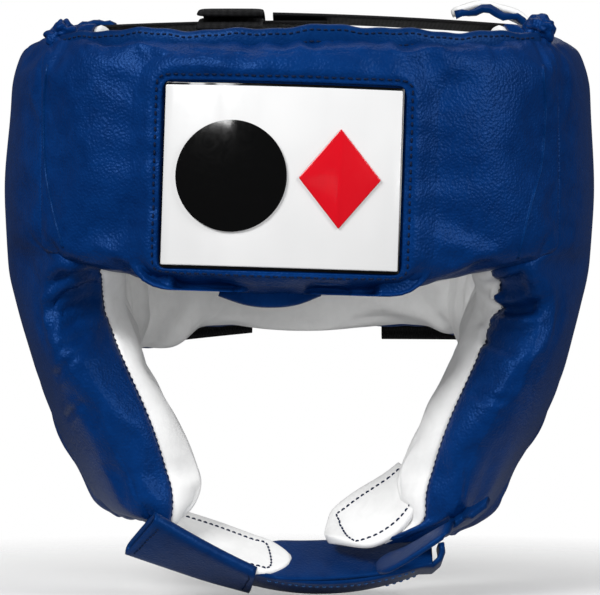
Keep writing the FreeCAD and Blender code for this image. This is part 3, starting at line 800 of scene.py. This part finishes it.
def blend_between(first, last, count):
    """Vectors that go evenly from the first to the last."""
    share = np.linspace(0, 1, count)[:, None]
    return np.asarray(first, float) * (1 - share) + np.asarray(last, float) * share


# ------------------------------------------------------------------------------------ make the pads
def raise_round_badge(obj):
    """The brow's leather swells softly towards the badge's stitched frame."""
    points = points_of(obj)
    middle_x = BROW["rad"] * math.sin(math.radians(BADGE["turn"]))
    tilt = math.radians(BADGE["tilt"])
    x, z = points[:, 0] - middle_x, points[:, 2] - BADGE["low"] - BADGE["tall"] / 2
    across, up = x * math.cos(tilt) - z * math.sin(tilt), z * math.cos(tilt) + x * math.sin(tilt)
    half = math.radians(BADGE["angle"]) * BROW["rad"]
    away = np.hypot(np.maximum(np.abs(across) - half, 0), np.maximum(np.abs(up) - BADGE["tall"] / 2, 0))
    front = (kept(obj, "step") < 0.1) * smooth_step(points[:, 2], 1, 7)
    swell = 0.9 * smooth_step(away, 0.5, 4) * (1 - smooth_step(away, 5, 15))
    push_out(obj, swell * front)


def brow_pad():
    obj = padded_block("brow_form", (44, DEPTH_STEPS, 22), partial(ring_shape, BROW))
    along, up, step = kept(obj, "along"), kept(obj, "up"), kept(obj, "step")
    badge = (np.abs(along - 0.468) < 0.24) & (np.abs(up - 0.45) < 0.42)
    ends = (along < 0.02) | (along > 0.98)
    held = np.where(ends | badge | (np.abs(step - SEAM) < 0.05), 1.0, 0.0)
    inflate(obj, held, 4.0, 4.0)
    refine(obj, 2)
    seam_groove(obj)
    points = points_of(obj)
    top = smooth_step(points[:, 2], 76, 90) * (1 - smooth_step(kept(obj, "step"), 0.3, 0.7))
    puckers(obj, top, 0.75)
    raise_round_badge(obj)
    leather_piece, lining = split_pad(obj, "brow")
    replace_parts(leather_piece, "brow_cover", "brow_foam")
    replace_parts(lining, "brow_lining")
    return leather_piece, lining


def rear_pad():
    obj = padded_block("rear_form", (44, DEPTH_STEPS, 24), partial(ring_shape, REAR))
    along, step = kept(obj, "along"), kept(obj, "step")
    outside = (along < 0.02) | (along > 0.98) | (step < 0.02)
    held = np.where(outside | (np.abs(step - SEAM) < 0.05), 1.0, 0.0)
    inflate(obj, held, 3.0, 3.5)
    refine(obj, 2)
    seam_groove(obj)
    leather_piece, lining = split_pad(obj, "rear")
    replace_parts(leather_piece, "rear_cover", "rear_foam")
    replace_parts(lining, "rear_lining")
    return leather_piece, lining


def ear_dimple(obj):
    """The pad is drawn in where the ear opening is sewn through it."""
    points = points_of(obj)
    away = np.hypot(points[:, 1] - EAR["y"], points[:, 2] - EAR["z"])
    push_out(obj, -3.4 * (1 - smooth_step(away, EAR["rad"] + 4, EAR["rad"] + 22)))


def side_pad(side, word):
    obj = padded_block(f"{word}_form", (40, DEPTH_STEPS, 44), partial(side_shape, side))
    points, step, along = points_of(obj), kept(obj, "step"), kept(obj, "along")
    beside = ((along < 0.02) | (along > 0.98)) & (points[:, 2] > 12)
    hole = np.hypot(points[:, 1] - EAR["y"], points[:, 2] - EAR["z"]) < EAR["rad"] + 6
    held = np.where(beside | hole | (np.abs(step - SEAM) < 0.05), 1.0, 0.0)
    inflate(obj, held, 4.0, 1.6)
    refine(obj, 2)
    seam_groove(obj)
    ear_dimple(obj)
    press_folds(obj, SIDE_FOLDS[word])

    def in_ear(centre):
        return math.hypot(centre[1] - EAR["y"], centre[2] - EAR["z"]) < EAR["rad"] + 1.5

    leather_piece, lining = split_pad(obj, f"{word}_side", in_ear)
    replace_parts(leather_piece, f"{word}_side_cover", f"{word}_side_foam")
    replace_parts(lining, f"{word}_side_lining")
    return leather_piece, lining


# valleys in the leather: width, depth, and where they run in the front view
SIDE_FOLDS = {
    "right": [
        (7.0, 3.2, [(-74, 6), (-82, 1), (-92, -6)]),
        (2.4, 2.7, [(-73, 8), (-81, 8.5), (-88, 7), (-96, 3)]),
        (2.2, 2.5, [(-73, 4), (-82, 2.5), (-90, -2), (-97, -7)]),
        (2.0, 2.3, [(-74, 0), (-83, -3), (-91, -8), (-96, -13)]),
        (1.9, 1.9, [(-75, -5), (-84, -9), (-92, -15)]),
        (1.7, 1.5, [(-77, -11), (-86, -17), (-92, -23)]),
        (1.5, 1.1, [(-80, -18), (-88, -25), (-92, -31)]),
        (1.2, 0.8, [(-79, -38), (-85, -42), (-88, -46)]),
    ],
    "left": [
        (6.5, 2.2, [(73, 3), (79, 2), (86, 4)]),
        (2.5, 4.2, [(69, -2.8), (75, -4.2), (81.3, -4.6), (88, -3), (92, -0.5)]),
        (2.2, 2.6, [(69, 3.6), (76.7, 5), (82.4, 7), (86, 12)]),
        (1.9, 1.8, [(68, 0.5), (77, 1.2), (85, 3.5), (92, 8)]),
        (1.8, 1.6, [(66, -8), (75, -10.5), (84, -12), (92, -9)]),
        (1.6, 1.2, [(66, -15), (75, -19), (84, -22)]),
        (1.3, 0.8, [(62, -35), (71, -38), (80, -39)]),
    ],
}


# rings of the ear's binding: radius, place through the pad (0 its outside, 1 its inside), and lift off it
EAR_OUTER = ((25.0, 0, 0.1), (24.6, 0, 1.3), (22.5, 0, 1.9), (20.0, 0, 1.9), (18.4, 0, 1.2), (17.7, 0, -0.6),
             (17.7, 0.5, 0))
EAR_INNER = ((17.7, 0.5, 0), (17.7, 1, -0.6), (18.4, 1, 0.9), (20.0, 1, 1.3), (21.6, 1, 1.0), (22.2, 1, 0.1))


def ear_ring(name, side, profile, outer, inner, material):
    """A rolled ring round the ear opening that follows the pad's two faces."""
    steps = 72
    points = []
    for turn in range(steps):
        angle = 2 * math.pi * turn / steps
        for radius, share, lift in profile:
            probe = max(radius, EAR["rad"] + 3.2)
            y, z = EAR["y"] + probe * math.cos(angle), EAR["z"] + probe * math.sin(angle)
            outside, _ = hit(outer, (200.0 * side, y, z), (-side, 0, 0))
            inside, _ = hit(inner, (0, y, z), (side, 0, 0))
            x = outside[0] * (1 - share) + inside[0] * share
            x += lift * side * (1 - 2 * share)
            points.append((x, EAR["y"] + radius * math.cos(angle), EAR["z"] + radius * math.sin(angle)))
    quads = lattice(steps, len(profile), closed=True, round_across=False)
    obj = make(name, points, quads, material)
    face_out(obj)
    skin(obj, 0.5)
    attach(obj, "shell")
    return obj


def ear_sleeve(side, word, cover, lining):
    """Rolled leather binding round the ear opening outside, and lining round it inside."""
    outer, inner = surface_tree(cover), surface_tree(lining)
    obj = ear_ring(f"{word}_ear_sleeve", side, EAR_OUTER, outer, inner, BLUE_STRAP)
    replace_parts(obj, f"{word}_ear_binding", f"{word}_ear_ring")
    ear_ring(f"{word}_ear_lining_ring", side, EAR_INNER, outer, inner, WHITE)
    tree = surface_tree(obj)
    rows = ([], [])
    for angle in np.linspace(0, 2 * math.pi, 56):
        y, z = EAR["y"] + 22.8 * math.cos(angle), EAR["z"] + 22.8 * math.sin(angle)
        place, normal = hit(tree, (200.0 * side, y, z), (-side, 0, 0))
        rows[0].append(np.array(place))
        rows[1].append(np.array(normal))
    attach(stitches(f"{word}_ear_stitching", [rows], PALE_THREAD, pitch=2.6, thick=0.6), "shell")


def seam_stitches(word, cover, every=2.3):
    """Short stitches across the seam between leather and lining."""
    line, _ = boundary(cover)
    tree = surface_tree(cover)
    middle = evenly(line, every)
    points, normals = laid(tree, middle, -0.1)
    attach(stitches(f"{word}_seam_stitching", [(points, normals)], BLUE_THREAD, pitch=every, share=0.6,
                     thick=0.4), "shell")


def shells():
    pads = {"brow": brow_pad(), "rear": rear_pad(), "left_side": side_pad(1, "left"),
            "right_side": side_pad(-1, "right")}
    for word, (cover, lining) in pads.items():
        skin(cover, 1.2)
        skin(lining, 1.0)
        for piece, fill in ((cover, 0.8), (lining, 0.7)):
            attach(piece, "shell")
        seam_stitches(word, cover)
    for side, word in ((1, "left"), (-1, "right")):
        ear_sleeve(side, word, *pads[f"{word}_side"])
    return pads


pads = shells()


def end_welts():
    """The thin welt where each end of the brow is sewn to a side."""
    outlines = {"right": [(-94.7, 87), (-96, 71), (-95.5, 50), (-93, 35), (-89, 18.8)],
                "left": [(91.0, 87), (92, 71), (90.5, 50), (86.6, 35), (81.7, 14.6)]}
    for word, outline in outlines.items():
        tree = surface_tree(pads["brow"][0], pads[f"{word}_side"][0])
        line = smooth_line(on_front(tree, smooth_line(outline, 6)), 3)
        strap(f"brow_welt_{word}", line, [(1.1, 0, 0)] * len(line), 0.9, BLUE_STRAP, "shell")


end_welts()


# ------------------------------------------------------------------------------------------- rims
def brow_rim_wave(degrees):
    waves = 0.7 * math.sin(degrees * 0.17 + 0.6) + 0.5 * math.sin(degrees * 0.43)
    return waves + 0.25 * math.sin(degrees * 1.1) - 1.6


def brow_rim():
    """The sewn edge that stands up along the top of the brow pad, with two rows of stitches."""
    # its section: distance from the brow's face, and level
    profile = [(-9.4, 84), (-6.4, 86.5), (-6.2, 91.5), (-6.9, 93.6), (-7.9, 94.3), (-9.0, 93.8), (-10.0, 91),
               (-11.5, 86)]
    half_deg, steps = 43.8, 90
    points, uv = [], []
    for degrees in half_deg * (2 * np.arange(steps + 1) / steps - 1):
        angle = math.radians(degrees)
        for off, level in profile:
            reach = BROW["rad"] + off
            points.append((reach * math.sin(angle), BROW["axis"] - reach * math.cos(angle),
                           level + brow_rim_wave(degrees)))
            uv.append((angle * BROW["rad"], level))
    count = len(profile)
    quads = lattice(steps + 1, count)
    quads.append(list(range(count)))
    quads.append([steps * count + j for j in range(count)][::-1])
    rim = make("brow_top_rim", points, quads, BLUE_STRAP, uv=uv)
    face_out(rim)
    refine(rim)
    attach(rim, "shell")
    tree = surface_tree(rim)
    rows = []
    for level in (88.0, 92.0):
        points, normals = [], []
        for degrees in np.arange(-42.5, 42.6, 1.1):
            x, z = BROW["rad"] * math.sin(math.radians(degrees)), level + brow_rim_wave(degrees)
            place, normal = hit(tree, (x * 0.945, -200, z), (0, 1, 0))
            if place is not None:
                points.append(np.array(place))
                normals.append(np.array(normal))
        rows.append((points, normals))
    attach(stitches("brow_rim_stitching", rows, BLUE_THREAD, pitch=2.6, thick=0.7), "shell")


brow_rim()


# ------------------------------------------------------------------------------------------ badge
def badge_point(across, up, off):
    """A place on the badge's face: across and up from its middle in mm, off the brow's leather."""
    tilt = math.radians(BADGE["tilt"])
    middle_x = BROW["rad"] * math.sin(math.radians(BADGE["turn"]))
    middle_z = BADGE["low"] + BADGE["tall"] / 2
    angle = math.radians(BADGE["turn"]) + across / BROW["rad"]
    reach = BROW["rad"] + off
    x, z = reach * math.sin(angle) - middle_x, up
    y = BROW["axis"] - reach * math.cos(angle)
    turned_x = x * math.cos(tilt) + z * math.sin(tilt)
    turned_z = z * math.cos(tilt) - x * math.sin(tilt)
    return np.array([turned_x + middle_x, y, turned_z + middle_z])


def frame_outline(half_x, half_y, corner, count=14):
    """A rounded rectangle, anticlockwise seen from the front."""
    found = []
    for cx, cy, start in ((1, 1, 0), (-1, 1, 90), (-1, -1, 180), (1, -1, 270)):
        for i in range(count):
            angle = math.radians(start + 90 * i / (count - 1))
            found.append((cx * (half_x - corner) + corner * math.cos(angle),
                          cy * (half_y - corner) + corner * math.sin(angle)))
    return evenly(found, 2.0, closed=True)


def outward(outline):
    """Unit normals, pointing out, along a closed outline in the plane."""
    along = np.roll(outline, -1, axis=0) - np.roll(outline, 1, axis=0)
    out = np.stack([along[:, 1], -along[:, 0]], axis=1)
    return out / np.linalg.norm(out, axis=1)[:, None]


def ridge_points(outline, profile):
    """Rings of the ridge that follow the brow's swelling, and are narrower along the lower edge."""
    brow = surface_tree(pads["brow"][0])
    points = []
    for (x, y), (nx, ny) in zip(outline, outward(outline)):
        wave = 0.25 * math.sin(x * 0.55 + y * 0.4) + 0.2 * math.sin(x * 0.23 - y * 0.7)
        squeeze = 1 - 0.45 * max(0, -ny)
        for away, off in profile:
            flat_x, flat_y = x + nx * away * squeeze, y + ny * away * squeeze
            place = badge_point(flat_x, flat_y, off)
            seen, _ = hit(brow, (place[0], -200, place[2]), (0, 1, 0))
            if away > 2 and seen is not None:
                swelling = seen[1] - badge_point(flat_x, flat_y, 0)[1]
                place[1] += swelling * min(1, (away - 2) / 4)
            if off > 0.5:
                place[1] -= wave * 0.8
            points.append(place)
    return points


def badge_frame():
    """The padded leather ridge round the badge's window, with a row of stitches near its inner edge."""
    half_x = math.radians(BADGE["angle"]) * BROW["rad"]
    half_y = BADGE["tall"] / 2
    # its section: distance out from the window's edge, and height off the brow's face
    profile = ((0.6, 0.2), (0.5, 1.6), (1.0, 2.3), (2.1, 2.0), (3.0, 2.5), (4.2, 2.6), (6.0, 1.9), (8.5, 1.0),
               (11.0, 0.35), (13.5, -0.1), (14.5, -0.6), (11.0, -1.6), (0.8, -0.8))
    outline = frame_outline(half_x, half_y, 1.5)
    quads = lattice(len(outline), len(profile), closed=True)
    ridge = make("badge_ridge", ridge_points(outline, profile), quads, BLUE)
    face_out(ridge)
    refine(ridge)
    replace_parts(ridge, "badge_frame")
    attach(ridge, "shell")
    row = evenly(frame_outline(half_x + 2.3, half_y + 2.3, 2.0), 2.7, closed=True)
    row = np.vstack([row, row[:1]])
    points, normals = laid(surface_tree(ridge), [badge_point(x, y, 3.0) for x, y in row])
    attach(stitches("badge_stitching", [(points, normals)], BLUE_THREAD, pitch=2.7, thick=0.75), "shell")


def badge_plates():
    """The CAD's own flat plates, with a finish and a small rounded edge."""
    for node, finish, slot, edge in (
        ("badge_back_plate", BADGE_BLACK, "badge_black", 0.3),
        ("badge_plate", BADGE_WHITE, "badge_white", 0.5),
        ("badge_disc", BADGE_BLACK, "badge_black", 0.35),
        ("badge_diamond", BADGE_RED, "badge_red", 0.35),
    ):
        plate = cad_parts[node]
        plate.data.materials.clear()
        plate.data.materials.append(finish)
        weld = plate.modifiers.new("weld", "WELD")
        weld.merge_threshold = 0.00001
        bevel = plate.modifiers.new("edge", "BEVEL")
        bevel.width = edge * MM
        bevel.segments = 3
        bevel.angle_limit = math.radians(40)
        bevel.harden_normals = True


badge_frame()
badge_plates()


# ------------------------------------------------------------------------------------------ crown
WEB = 2.0  # the webbing's thickness in the CAD; it is drawn a tenth thinner
# the straps across the crown and along it, in mm as in the CAD
CROSS = {"y": -6.0, "wide": 36.0, "z": 97.9, "reach": 88.0, "lap": 10.0, "rad": 1500.0}
LONG = {"x": -24.5, "wide": 23.0}


def cross_line(x0, x1, at_lap, at_reach, side, count=30):
    """A half of the cross strap: its lift over CROSS's level goes from at_lap to at_reach."""
    found = []
    for out in np.linspace(x0 * side, x1 * side, count):
        share = (out + CROSS["lap"]) / (CROSS["reach"] + CROSS["lap"])
        rise = (out + CROSS["lap"]) * (CROSS["reach"] - out) / (CROSS["rad"] * 2)
        level = CROSS["z"] + at_lap * (1 - share) + at_reach * share + rise + WEB / 2
        found.append((out * side, CROSS["y"], level))
    return np.array(found)


def crown():
    """The four webbing straps; the left half of the cross strap and the long strap lift."""
    wide = (0, CROSS["wide"], 0)
    right = cross_line(-CROSS["reach"], CROSS["lap"], 2.5, 0, -1)
    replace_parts(strap("cross_strap_right", right, [wide] * len(right), WEB * 0.9, WEBBING,
                      "shell"), "crown_cross_right")
    left = cross_line(CROSS["reach"], -CROSS["lap"], 5.5, 0.35, 1, 48)
    piece = strap("cross_strap_left", left, [wide] * len(left), WEB * 0.9, WEBBING)
    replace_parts(piece, "crown_cross_left", "crown_cross_base")
    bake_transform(piece)
    wide = (LONG["wide"], 0, 0)

    def fore_and_aft(y0, z0, y1, z1, rad, count=30):  # given by the webbing's top
        return np.array([(LONG["x"], y, z - WEB / 2) for y, z in arc((y0, z0), (y1, z1), rad, 1, count)])

    web = fore_and_aft(-104, 94, -34, 102.2, 600)
    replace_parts(strap("front_web", web, [wide] * len(web), WEB * 0.9, WEBBING, "shell"),
                "crown_front_web")
    long_line = np.vstack([fore_and_aft(-92, 99.8, 99, 94, 550, 60),
                           fore_and_aft(100.2, 93.9, 108.5, 90.2, 60, 6)])
    piece = strap("long_strap", long_line, [wide] * len(long_line), WEB * 0.9, WEBBING)
    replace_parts(piece, "crown_long_strap", "crown_long_anchor")
    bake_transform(piece)


crown()


def crumple(name, middle, half, rough, seed):
    """A lump of gathered leather: a rounded block pushed about by noise."""
    triples, quads = block((8, 8, 8))
    place = triples / 4 - 1
    length = np.linalg.norm(place, axis=1)[:, None]
    points = place * (np.max(np.abs(place), axis=1)[:, None] / length) * np.array(half)
    obj = make(name, points + np.array(middle), quads, BLUE)
    face_out(obj)
    refine(obj, 2)
    push = []
    for x, y, z in points_of(obj):
        coarse = noise.noise(Vector((x / 5 + seed * 9, y / 6, z / 4)))
        fine = noise.noise(Vector((x / 1.9, y / 3, z / 1.9 + seed)))
        push.append(coarse * 1.6 + fine * 0.6)
    push_out(obj, np.array(push) * rough)
    return obj


def crown_corners():
    """Small leather flaps and gathered gussets where the crown straps are sewn to the corners."""
    flap = [(x, 33.0, z) for x, z in arc((92, 99), (59, 109.5), 26, -1, 14)]
    piece = strap("crown_flap_white", flap, [(0, 26, 0)] * len(flap), 3.0, WHITE, "shell",
                  lumps=0.3)
    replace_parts(piece, "crown_flap_left")
    edge = [(x, 18.5, z - 2.6 + 0.9 * math.sin(x * 0.55)) for x, _, z in flap]
    strap("crown_flap_edging", edge, [(0, 3, 1.2)] * len(edge), 2.2, BLUE_STRAP, "shell",
          lumps=0.5)
    flap = [(x, 34.0, z) for x, z in arc((-93, 98), (-71, 104), 22, 1, 12)]
    piece = strap("crown_flap_blue", flap, [(0, 18, 0)] * len(flap), 3.0, BLUE_STRAP, "shell",
                  lumps=0.3)
    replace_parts(piece, "crown_flap_right")
    for side, word in ((1, "left"), (-1, "right")):
        middle = (84.5 * side, -74.0, 94.2 + 0.8 * side)
        piece = crumple(f"corner_gather_{word}", middle, (5.6, 6.2, 4.0), 2.1, side)
        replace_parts(piece, f"corner_gusset_{word}")
        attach(piece, "shell")


crown_corners()


# ----------------------------------------------------------------------------------- rear closure
CLOSURE = {"level": 43.0, "off": 3.6, "wide": 50.0}
ELASTIC_LEVEL = -4.0


def around(pad, start_deg, end_deg, off, level, count):
    """A line round a pad's own axis, off its face, at one level."""
    found = []
    for degrees in np.linspace(start_deg, end_deg, count):
        angle = math.radians(degrees)
        reach = pad["rad"] + off
        found.append((reach * math.sin(angle), pad["axis"] + pad["way"] * reach * math.cos(angle), level))
    return np.array(found)


def rear_closure():
    """The hook-and-loop strap over the rear pad, its tapes, and the elastic below."""
    level = CLOSURE["level"]
    line = around(REAR, -56.8, 49.0, CLOSURE["off"], level, 70)
    line[:6, :2] *= np.linspace(0.982, 0.998, 6)[:, None]  # its sewn end goes down into the pad
    piece = strap("closure_strap_leather", line, [(0, 0, CLOSURE["wide"])] * len(line), 2.2, BLUE_STRAP,
                  round_end=9)
    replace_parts(piece, "closure_anchor", "closure_strap")
    rows = []
    tree = surface_tree(piece)
    for z in (-22.0, 22.0):
        edge = around(REAR, -54, 44, CLOSURE["off"], level + z, 110)
        points, normals = laid(tree, edge * np.array([1.02, 1.02, 1]))
        rows.append((points, normals))
    sewn = stitches("closure_stitching", rows, PALE_THREAD, pitch=1.8, thick=0.6)
    for part in (piece, sewn):
        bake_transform(part)
    for name, node, off, half, body in (("loop_tape", "closure_loop_patch", 0.85, 15, "shell"),
                                        ("hook_tape", "closure_hook_patch", 2.2, 14, "closure_strap")):
        line = around(REAR, 32 - half, 32 + half, off, level, 30)
        piece = strap(name, line, [(0, 0, 39)] * len(line), 0.9, PILE, body)
        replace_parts(piece, node)
    for word, middle, half in (("right", -33, 22), ("left", 37, 18)):
        line = around(REAR, middle - half, middle + half, 1.3, ELASTIC_LEVEL, 50)
        if word == "right":
            line[:, 2] += np.linspace(-5, 2.5, len(line))
        piece = strap(f"elastic_{word}", line, [(0, 0, 26)] * len(line), 1.7, ELASTIC,
                      "shell", lumps=0.12)
        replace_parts(piece, f"rear_elastic_{word}")


rear_closure()


# ------------------------------------------------------------------------------------- chin strap
CHIN_Y = -59.0
TAIL = {"rad": 95.0, "x": 8.0, "z": -10.6, "start": -14.4, "end": 46.5, "thick": 2.4, "wide": 23.4}


def tail_point(x, depth):
    """A place on the tail's arc at x, depth below its outer face."""
    rad = TAIL["rad"] - depth
    return x, TAIL["z"] - math.sqrt(rad**2 - (x - TAIL["x"]) ** 2)


def chin_straps():
    """The sliding tail, folded up at its free end, and the fixed upper strap above it."""
    middle = TAIL["thick"] / 2
    points = [tail_point(x, middle) for x in np.linspace(TAIL["start"], TAIL["end"] - 4, 30)]
    points += [(47.2, -97.7), (49.6, -95.6), (50.6, -92.8), (50.2, -89.8)]
    start = tail_point(TAIL["start"], middle)
    slope = (points[1][1] - points[0][1]) / (points[1][0] - points[0][0])
    inside = [(x, start[1] + (x - TAIL["start"]) * slope) for x in np.linspace(-28, TAIL["start"] - 1.5, 8)]
    line = np.array([(x, CHIN_Y, z + 0.8) for x, z in inside + points])
    wide = blend_between((0, -23, 6.5), (0, -23.2, 4.4), len(line))
    piece = strap("chin_tail_leather", line, wide, TAIL["thick"], BLUE_STRAP)
    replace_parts(piece, "chin_slide_end", "chin_tail_strap")
    tree = surface_tree(piece)
    rows = []
    for y in (-9.3, 9.3):
        row = evenly(line[9:-4] + np.array([0, y, -2.0]), 2.6)
        rows.append(laid(tree, row))
    sewn = stitches("chin_tail_stitching", rows, PALE_THREAD, pitch=2.6, thick=0.6)
    for part in (piece, sewn):
        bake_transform(part)
    upper = np.array([(x, CHIN_Y, z - 1) for x, z in arc((-47, -87.6), (47, -87.6), 203, -1, 50)])
    open_out = smooth_step(upper[:, 0], -24, -6)[:, None]
    wide = np.array([0, 10, 4]) * (1 - open_out) + np.array([0, 24, 12]) * open_out
    piece = strap("chin_upper_leather", upper, wide, 2.0, BLUE_STRAP, "shell")
    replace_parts(piece, "chin_strap_upper")


def keeper():
    """The sleeve that the tail strap slides in: wide and open at the cheek, and it narrows."""
    line = smooth_line([(-56.3, -77, -83.2), (-44, -72, -89.2), (-30, -65, -95.8), (-16.8, -59, -101.2)], 8)
    widths = blend_between((11.6, -18, 13.8), (2.5, -26, 7.9), len(line))
    piece = strap("chin_keeper_sleeve", line, widths, 5.6, BLUE_STRAP, "shell", tube=1.2)
    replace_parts(piece, "chin_keeper")
    tree = surface_tree(piece)
    rows = []
    for share in (0.05, 0.94):
        at = int(share * (len(line) - 1))
        across = [line[at] + widths[at] * t + np.array([0, -6, -6]) for t in np.linspace(-0.42, 0.42, 11)]
        rows.append(laid(tree, across))
    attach(stitches("chin_keeper_stitching", rows, BLUE_THREAD, pitch=2.3, thick=0.6), "shell")


def tongues():
    """Padded white leaves inside the chin strap, with blue stitching along their edges."""
    leaves = {
        "right": ([(-52, -50, -74.5), (-44, -49, -77), (-30, -48, -81.5), (-15, -48, -87), (-5, -50, -90)],
                  [(-56, -70, -83), (-48, -70, -87), (-33, -71, -92), (-16, -71, -97.5), (-2, -67, -98.5)]),
        "left": ([(36, -48, -60), (30, -48, -64.5), (20, -48, -70.5), (12, -48, -77), (7, -50, -85)],
                 [(46, -72, -66), (41, -73, -75), (35, -73, -83), (25, -73, -88), (12, -71, -87.4)]),
    }
    for word, (top, bottom) in leaves.items():
        a, b = smooth_line(top, 9), smooth_line(bottom, 9)
        piece = strap(f"chin_tongue_{word}", (a + b) / 2, b - a, 3.8, WHITE, "shell",
                      round_end=10)
        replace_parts(piece, f"chin_pad_{word}")
        tree = surface_tree(piece)
        inset = 0.14
        left = a + (b - a) * inset
        right = b + (a - b) * inset
        count = len(a) - 5
        loop = np.vstack([left[:count], [(left[count + 1] + right[count + 1]) / 2], right[:count][::-1]])
        row = evenly(smooth_line(loop[::3], 4), 2.2)
        rows = [laid(tree, row + np.array([0, -4, 4]))]
        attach(stitches(f"chin_tongue_stitching_{word}", rows, BLUE_THREAD, pitch=2.2, share=0.75,
                         thick=0.7), "shell")


def chin_tab():
    """The tab that comes down over the wearer's left cheek onto the folded tail."""
    places = [(65.5, -88, -71.5), (57, -89.5, -77.2), (47, -89.5, -83.8), (35, -84, -91.4), (27, -78, -94.8)]
    line = smooth_line(places, 10)
    tree = surface_tree(pads["left_side"][0])
    above, furthest = 1.8, 14
    for point in line:  # the tab lies on the cheek as far as the cheek reaches
        place, _ = hit(tree, (point[0], -200, point[2]), (0, 1, 0))
        if place is not None and point[1] < place[1] - above < point[1] + furthest:
            point[1] = place[1] - above
    line[1:-1] = (line[:-2] + line[1:-1] * 2 + line[2:]) / 4
    widths = blend_between((1.5, 3.5, 2.8), (2.8, 15, 6.4), len(line))
    piece = strap("chin_tab_leather", line, widths, 2.2, BLUE_STRAP, "shell", round_end=7)
    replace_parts(piece, "chin_tab")


def chin_tapes():
    """The two faces of hook-and-loop tape where the tab holds the folded tail."""
    for name, node, corners, body in (
        ("tab_loop_tape", "chin_tab_loop", [(30.5, -96.9), (40, -95.3)], "shell"),
        ("tail_hook_tape", "chin_tail_hook", [(30.5, -99.75), (40, -96.85)], "chin_tail"),
    ):
        line = np.array([(x, CHIN_Y, z) for x, z in blend_between(*corners, 8)])
        piece = strap(name, line, [(0, 19.4, 0)] * len(line), 0.65, PILE, body)
        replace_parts(piece, node)


chin_straps()
keeper()
tongues()
chin_tab()
chin_tapes()


def brow_lobe():
    """A small leather lobe that hangs just below the brow's middle."""
    places = [(-27, -105, 4.2), (-18, -106, 1.2), (-10, -106, 0.4), (-2, -106, 1.2), (6, -105, 4.2)]
    line = smooth_line(places, 8)
    piece = strap("brow_lower_lobe", line, [(0, 8, 1)] * len(line), 7.5, BLUE, "shell")
    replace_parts(piece, "brow_lobe")


brow_lobe()


# ----------------------------------------------------------------------------- camera, light, floor
def camera():
    data = bpy.data.cameras.new("camera")
    data.lens, data.sensor_width = 208.0, 36.0
    data.clip_start, data.clip_end = 0.05, 20
    obj = bpy.data.objects.new("camera", data)
    obj.location = (0, -1.3, 0)
    obj.rotation_euler = (math.pi / 2, 0, 0)
    bpy.context.scene.collection.objects.link(obj)
    bpy.context.scene.camera = obj


def softbox(name, place, target, size, watts):
    """An area light that looks at target; places and sizes are in metres."""
    data = bpy.data.lights.new(name, "AREA")
    data.shape = "RECTANGLE"
    data.size, data.size_y = size
    data.energy = watts
    obj = bpy.data.objects.new(name, data)
    obj.location = place
    obj.rotation_euler = (Vector(target) - Vector(place)).to_track_quat("-Z", "Y").to_euler()
    bpy.context.scene.collection.objects.link(obj)
    return obj


def surroundings():
    """A pale floor that fades out, five soft lights, and a world that the camera sees as white."""
    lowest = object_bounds()[0].z
    steps, radius = 96, 1600.0
    ring = [(radius * math.cos(a), radius * math.sin(a), lowest / MM - 0.3)
            for a in np.linspace(0, 2 * math.pi, steps, endpoint=False)]
    pale = Finish("pale_floor", (0.92, 0.92, 0.92), 0.8)
    pale.colour(pale.ramp(pale.noise(60.0), (0.3, (0.92, 0.92, 0.92)), (0.7, (0.95, 0.95, 0.95))))
    reach = pale.add("VectorMath", {"operation": "LENGTH"}, Vector=pale.place).outputs["Value"]
    pale.feed(pale.shader.inputs["Alpha"], pale.span(reach, 0.04, 0.3, 1, 0))
    make("floor", ring, [list(range(steps))], pale.material)
    softbox("key", (-0.9, -1.2, 0.95), (0, 0, 0.02), (0.8, 0.6), 27)
    softbox("fill", (1.2, -0.95, 0.6), (0, 0, 0.0), (0.6, 0.8), 13)
    front = softbox("front", (0.0, -1.5, 0.02), (0, 0.1, 0.0), (0.5, 0.15), 6.5)
    front.visible_glossy = False
    softbox("top", (0.0, 0.25, 1.3), (0, 0, 0), (1.2, 0.9), 3)
    softbox("back", (0.2, 1.5, 0.9), (0, 0, 0), (0.8, 0.6), 1.5)
    world = bpy.data.worlds.new("studio")
    bpy.context.scene.world = world
    world.use_nodes = True
    tree = world.node_tree
    seen = tree.nodes["Background"]
    seen.inputs["Color"].default_value = (1, 1, 1, 1)
    lit = tree.nodes.new("ShaderNodeBackground")
    lit.inputs["Color"].default_value = (0.93, 0.95, 1, 1)
    lit.inputs["Strength"].default_value = 0.07
    path = tree.nodes.new("ShaderNodeLightPath")
    mix = tree.nodes.new("ShaderNodeMixShader")
    tree.links.new(path.outputs["Is Camera Ray"], mix.inputs[0])
    tree.links.new(lit.outputs[0], mix.inputs[1])
    tree.links.new(seen.outputs[0], mix.inputs[2])
    tree.links.new(mix.outputs[0], tree.nodes["World Output"].inputs["Surface"])
    bpy.context.scene.view_settings.view_transform = "Standard"


camera()
surroundings()
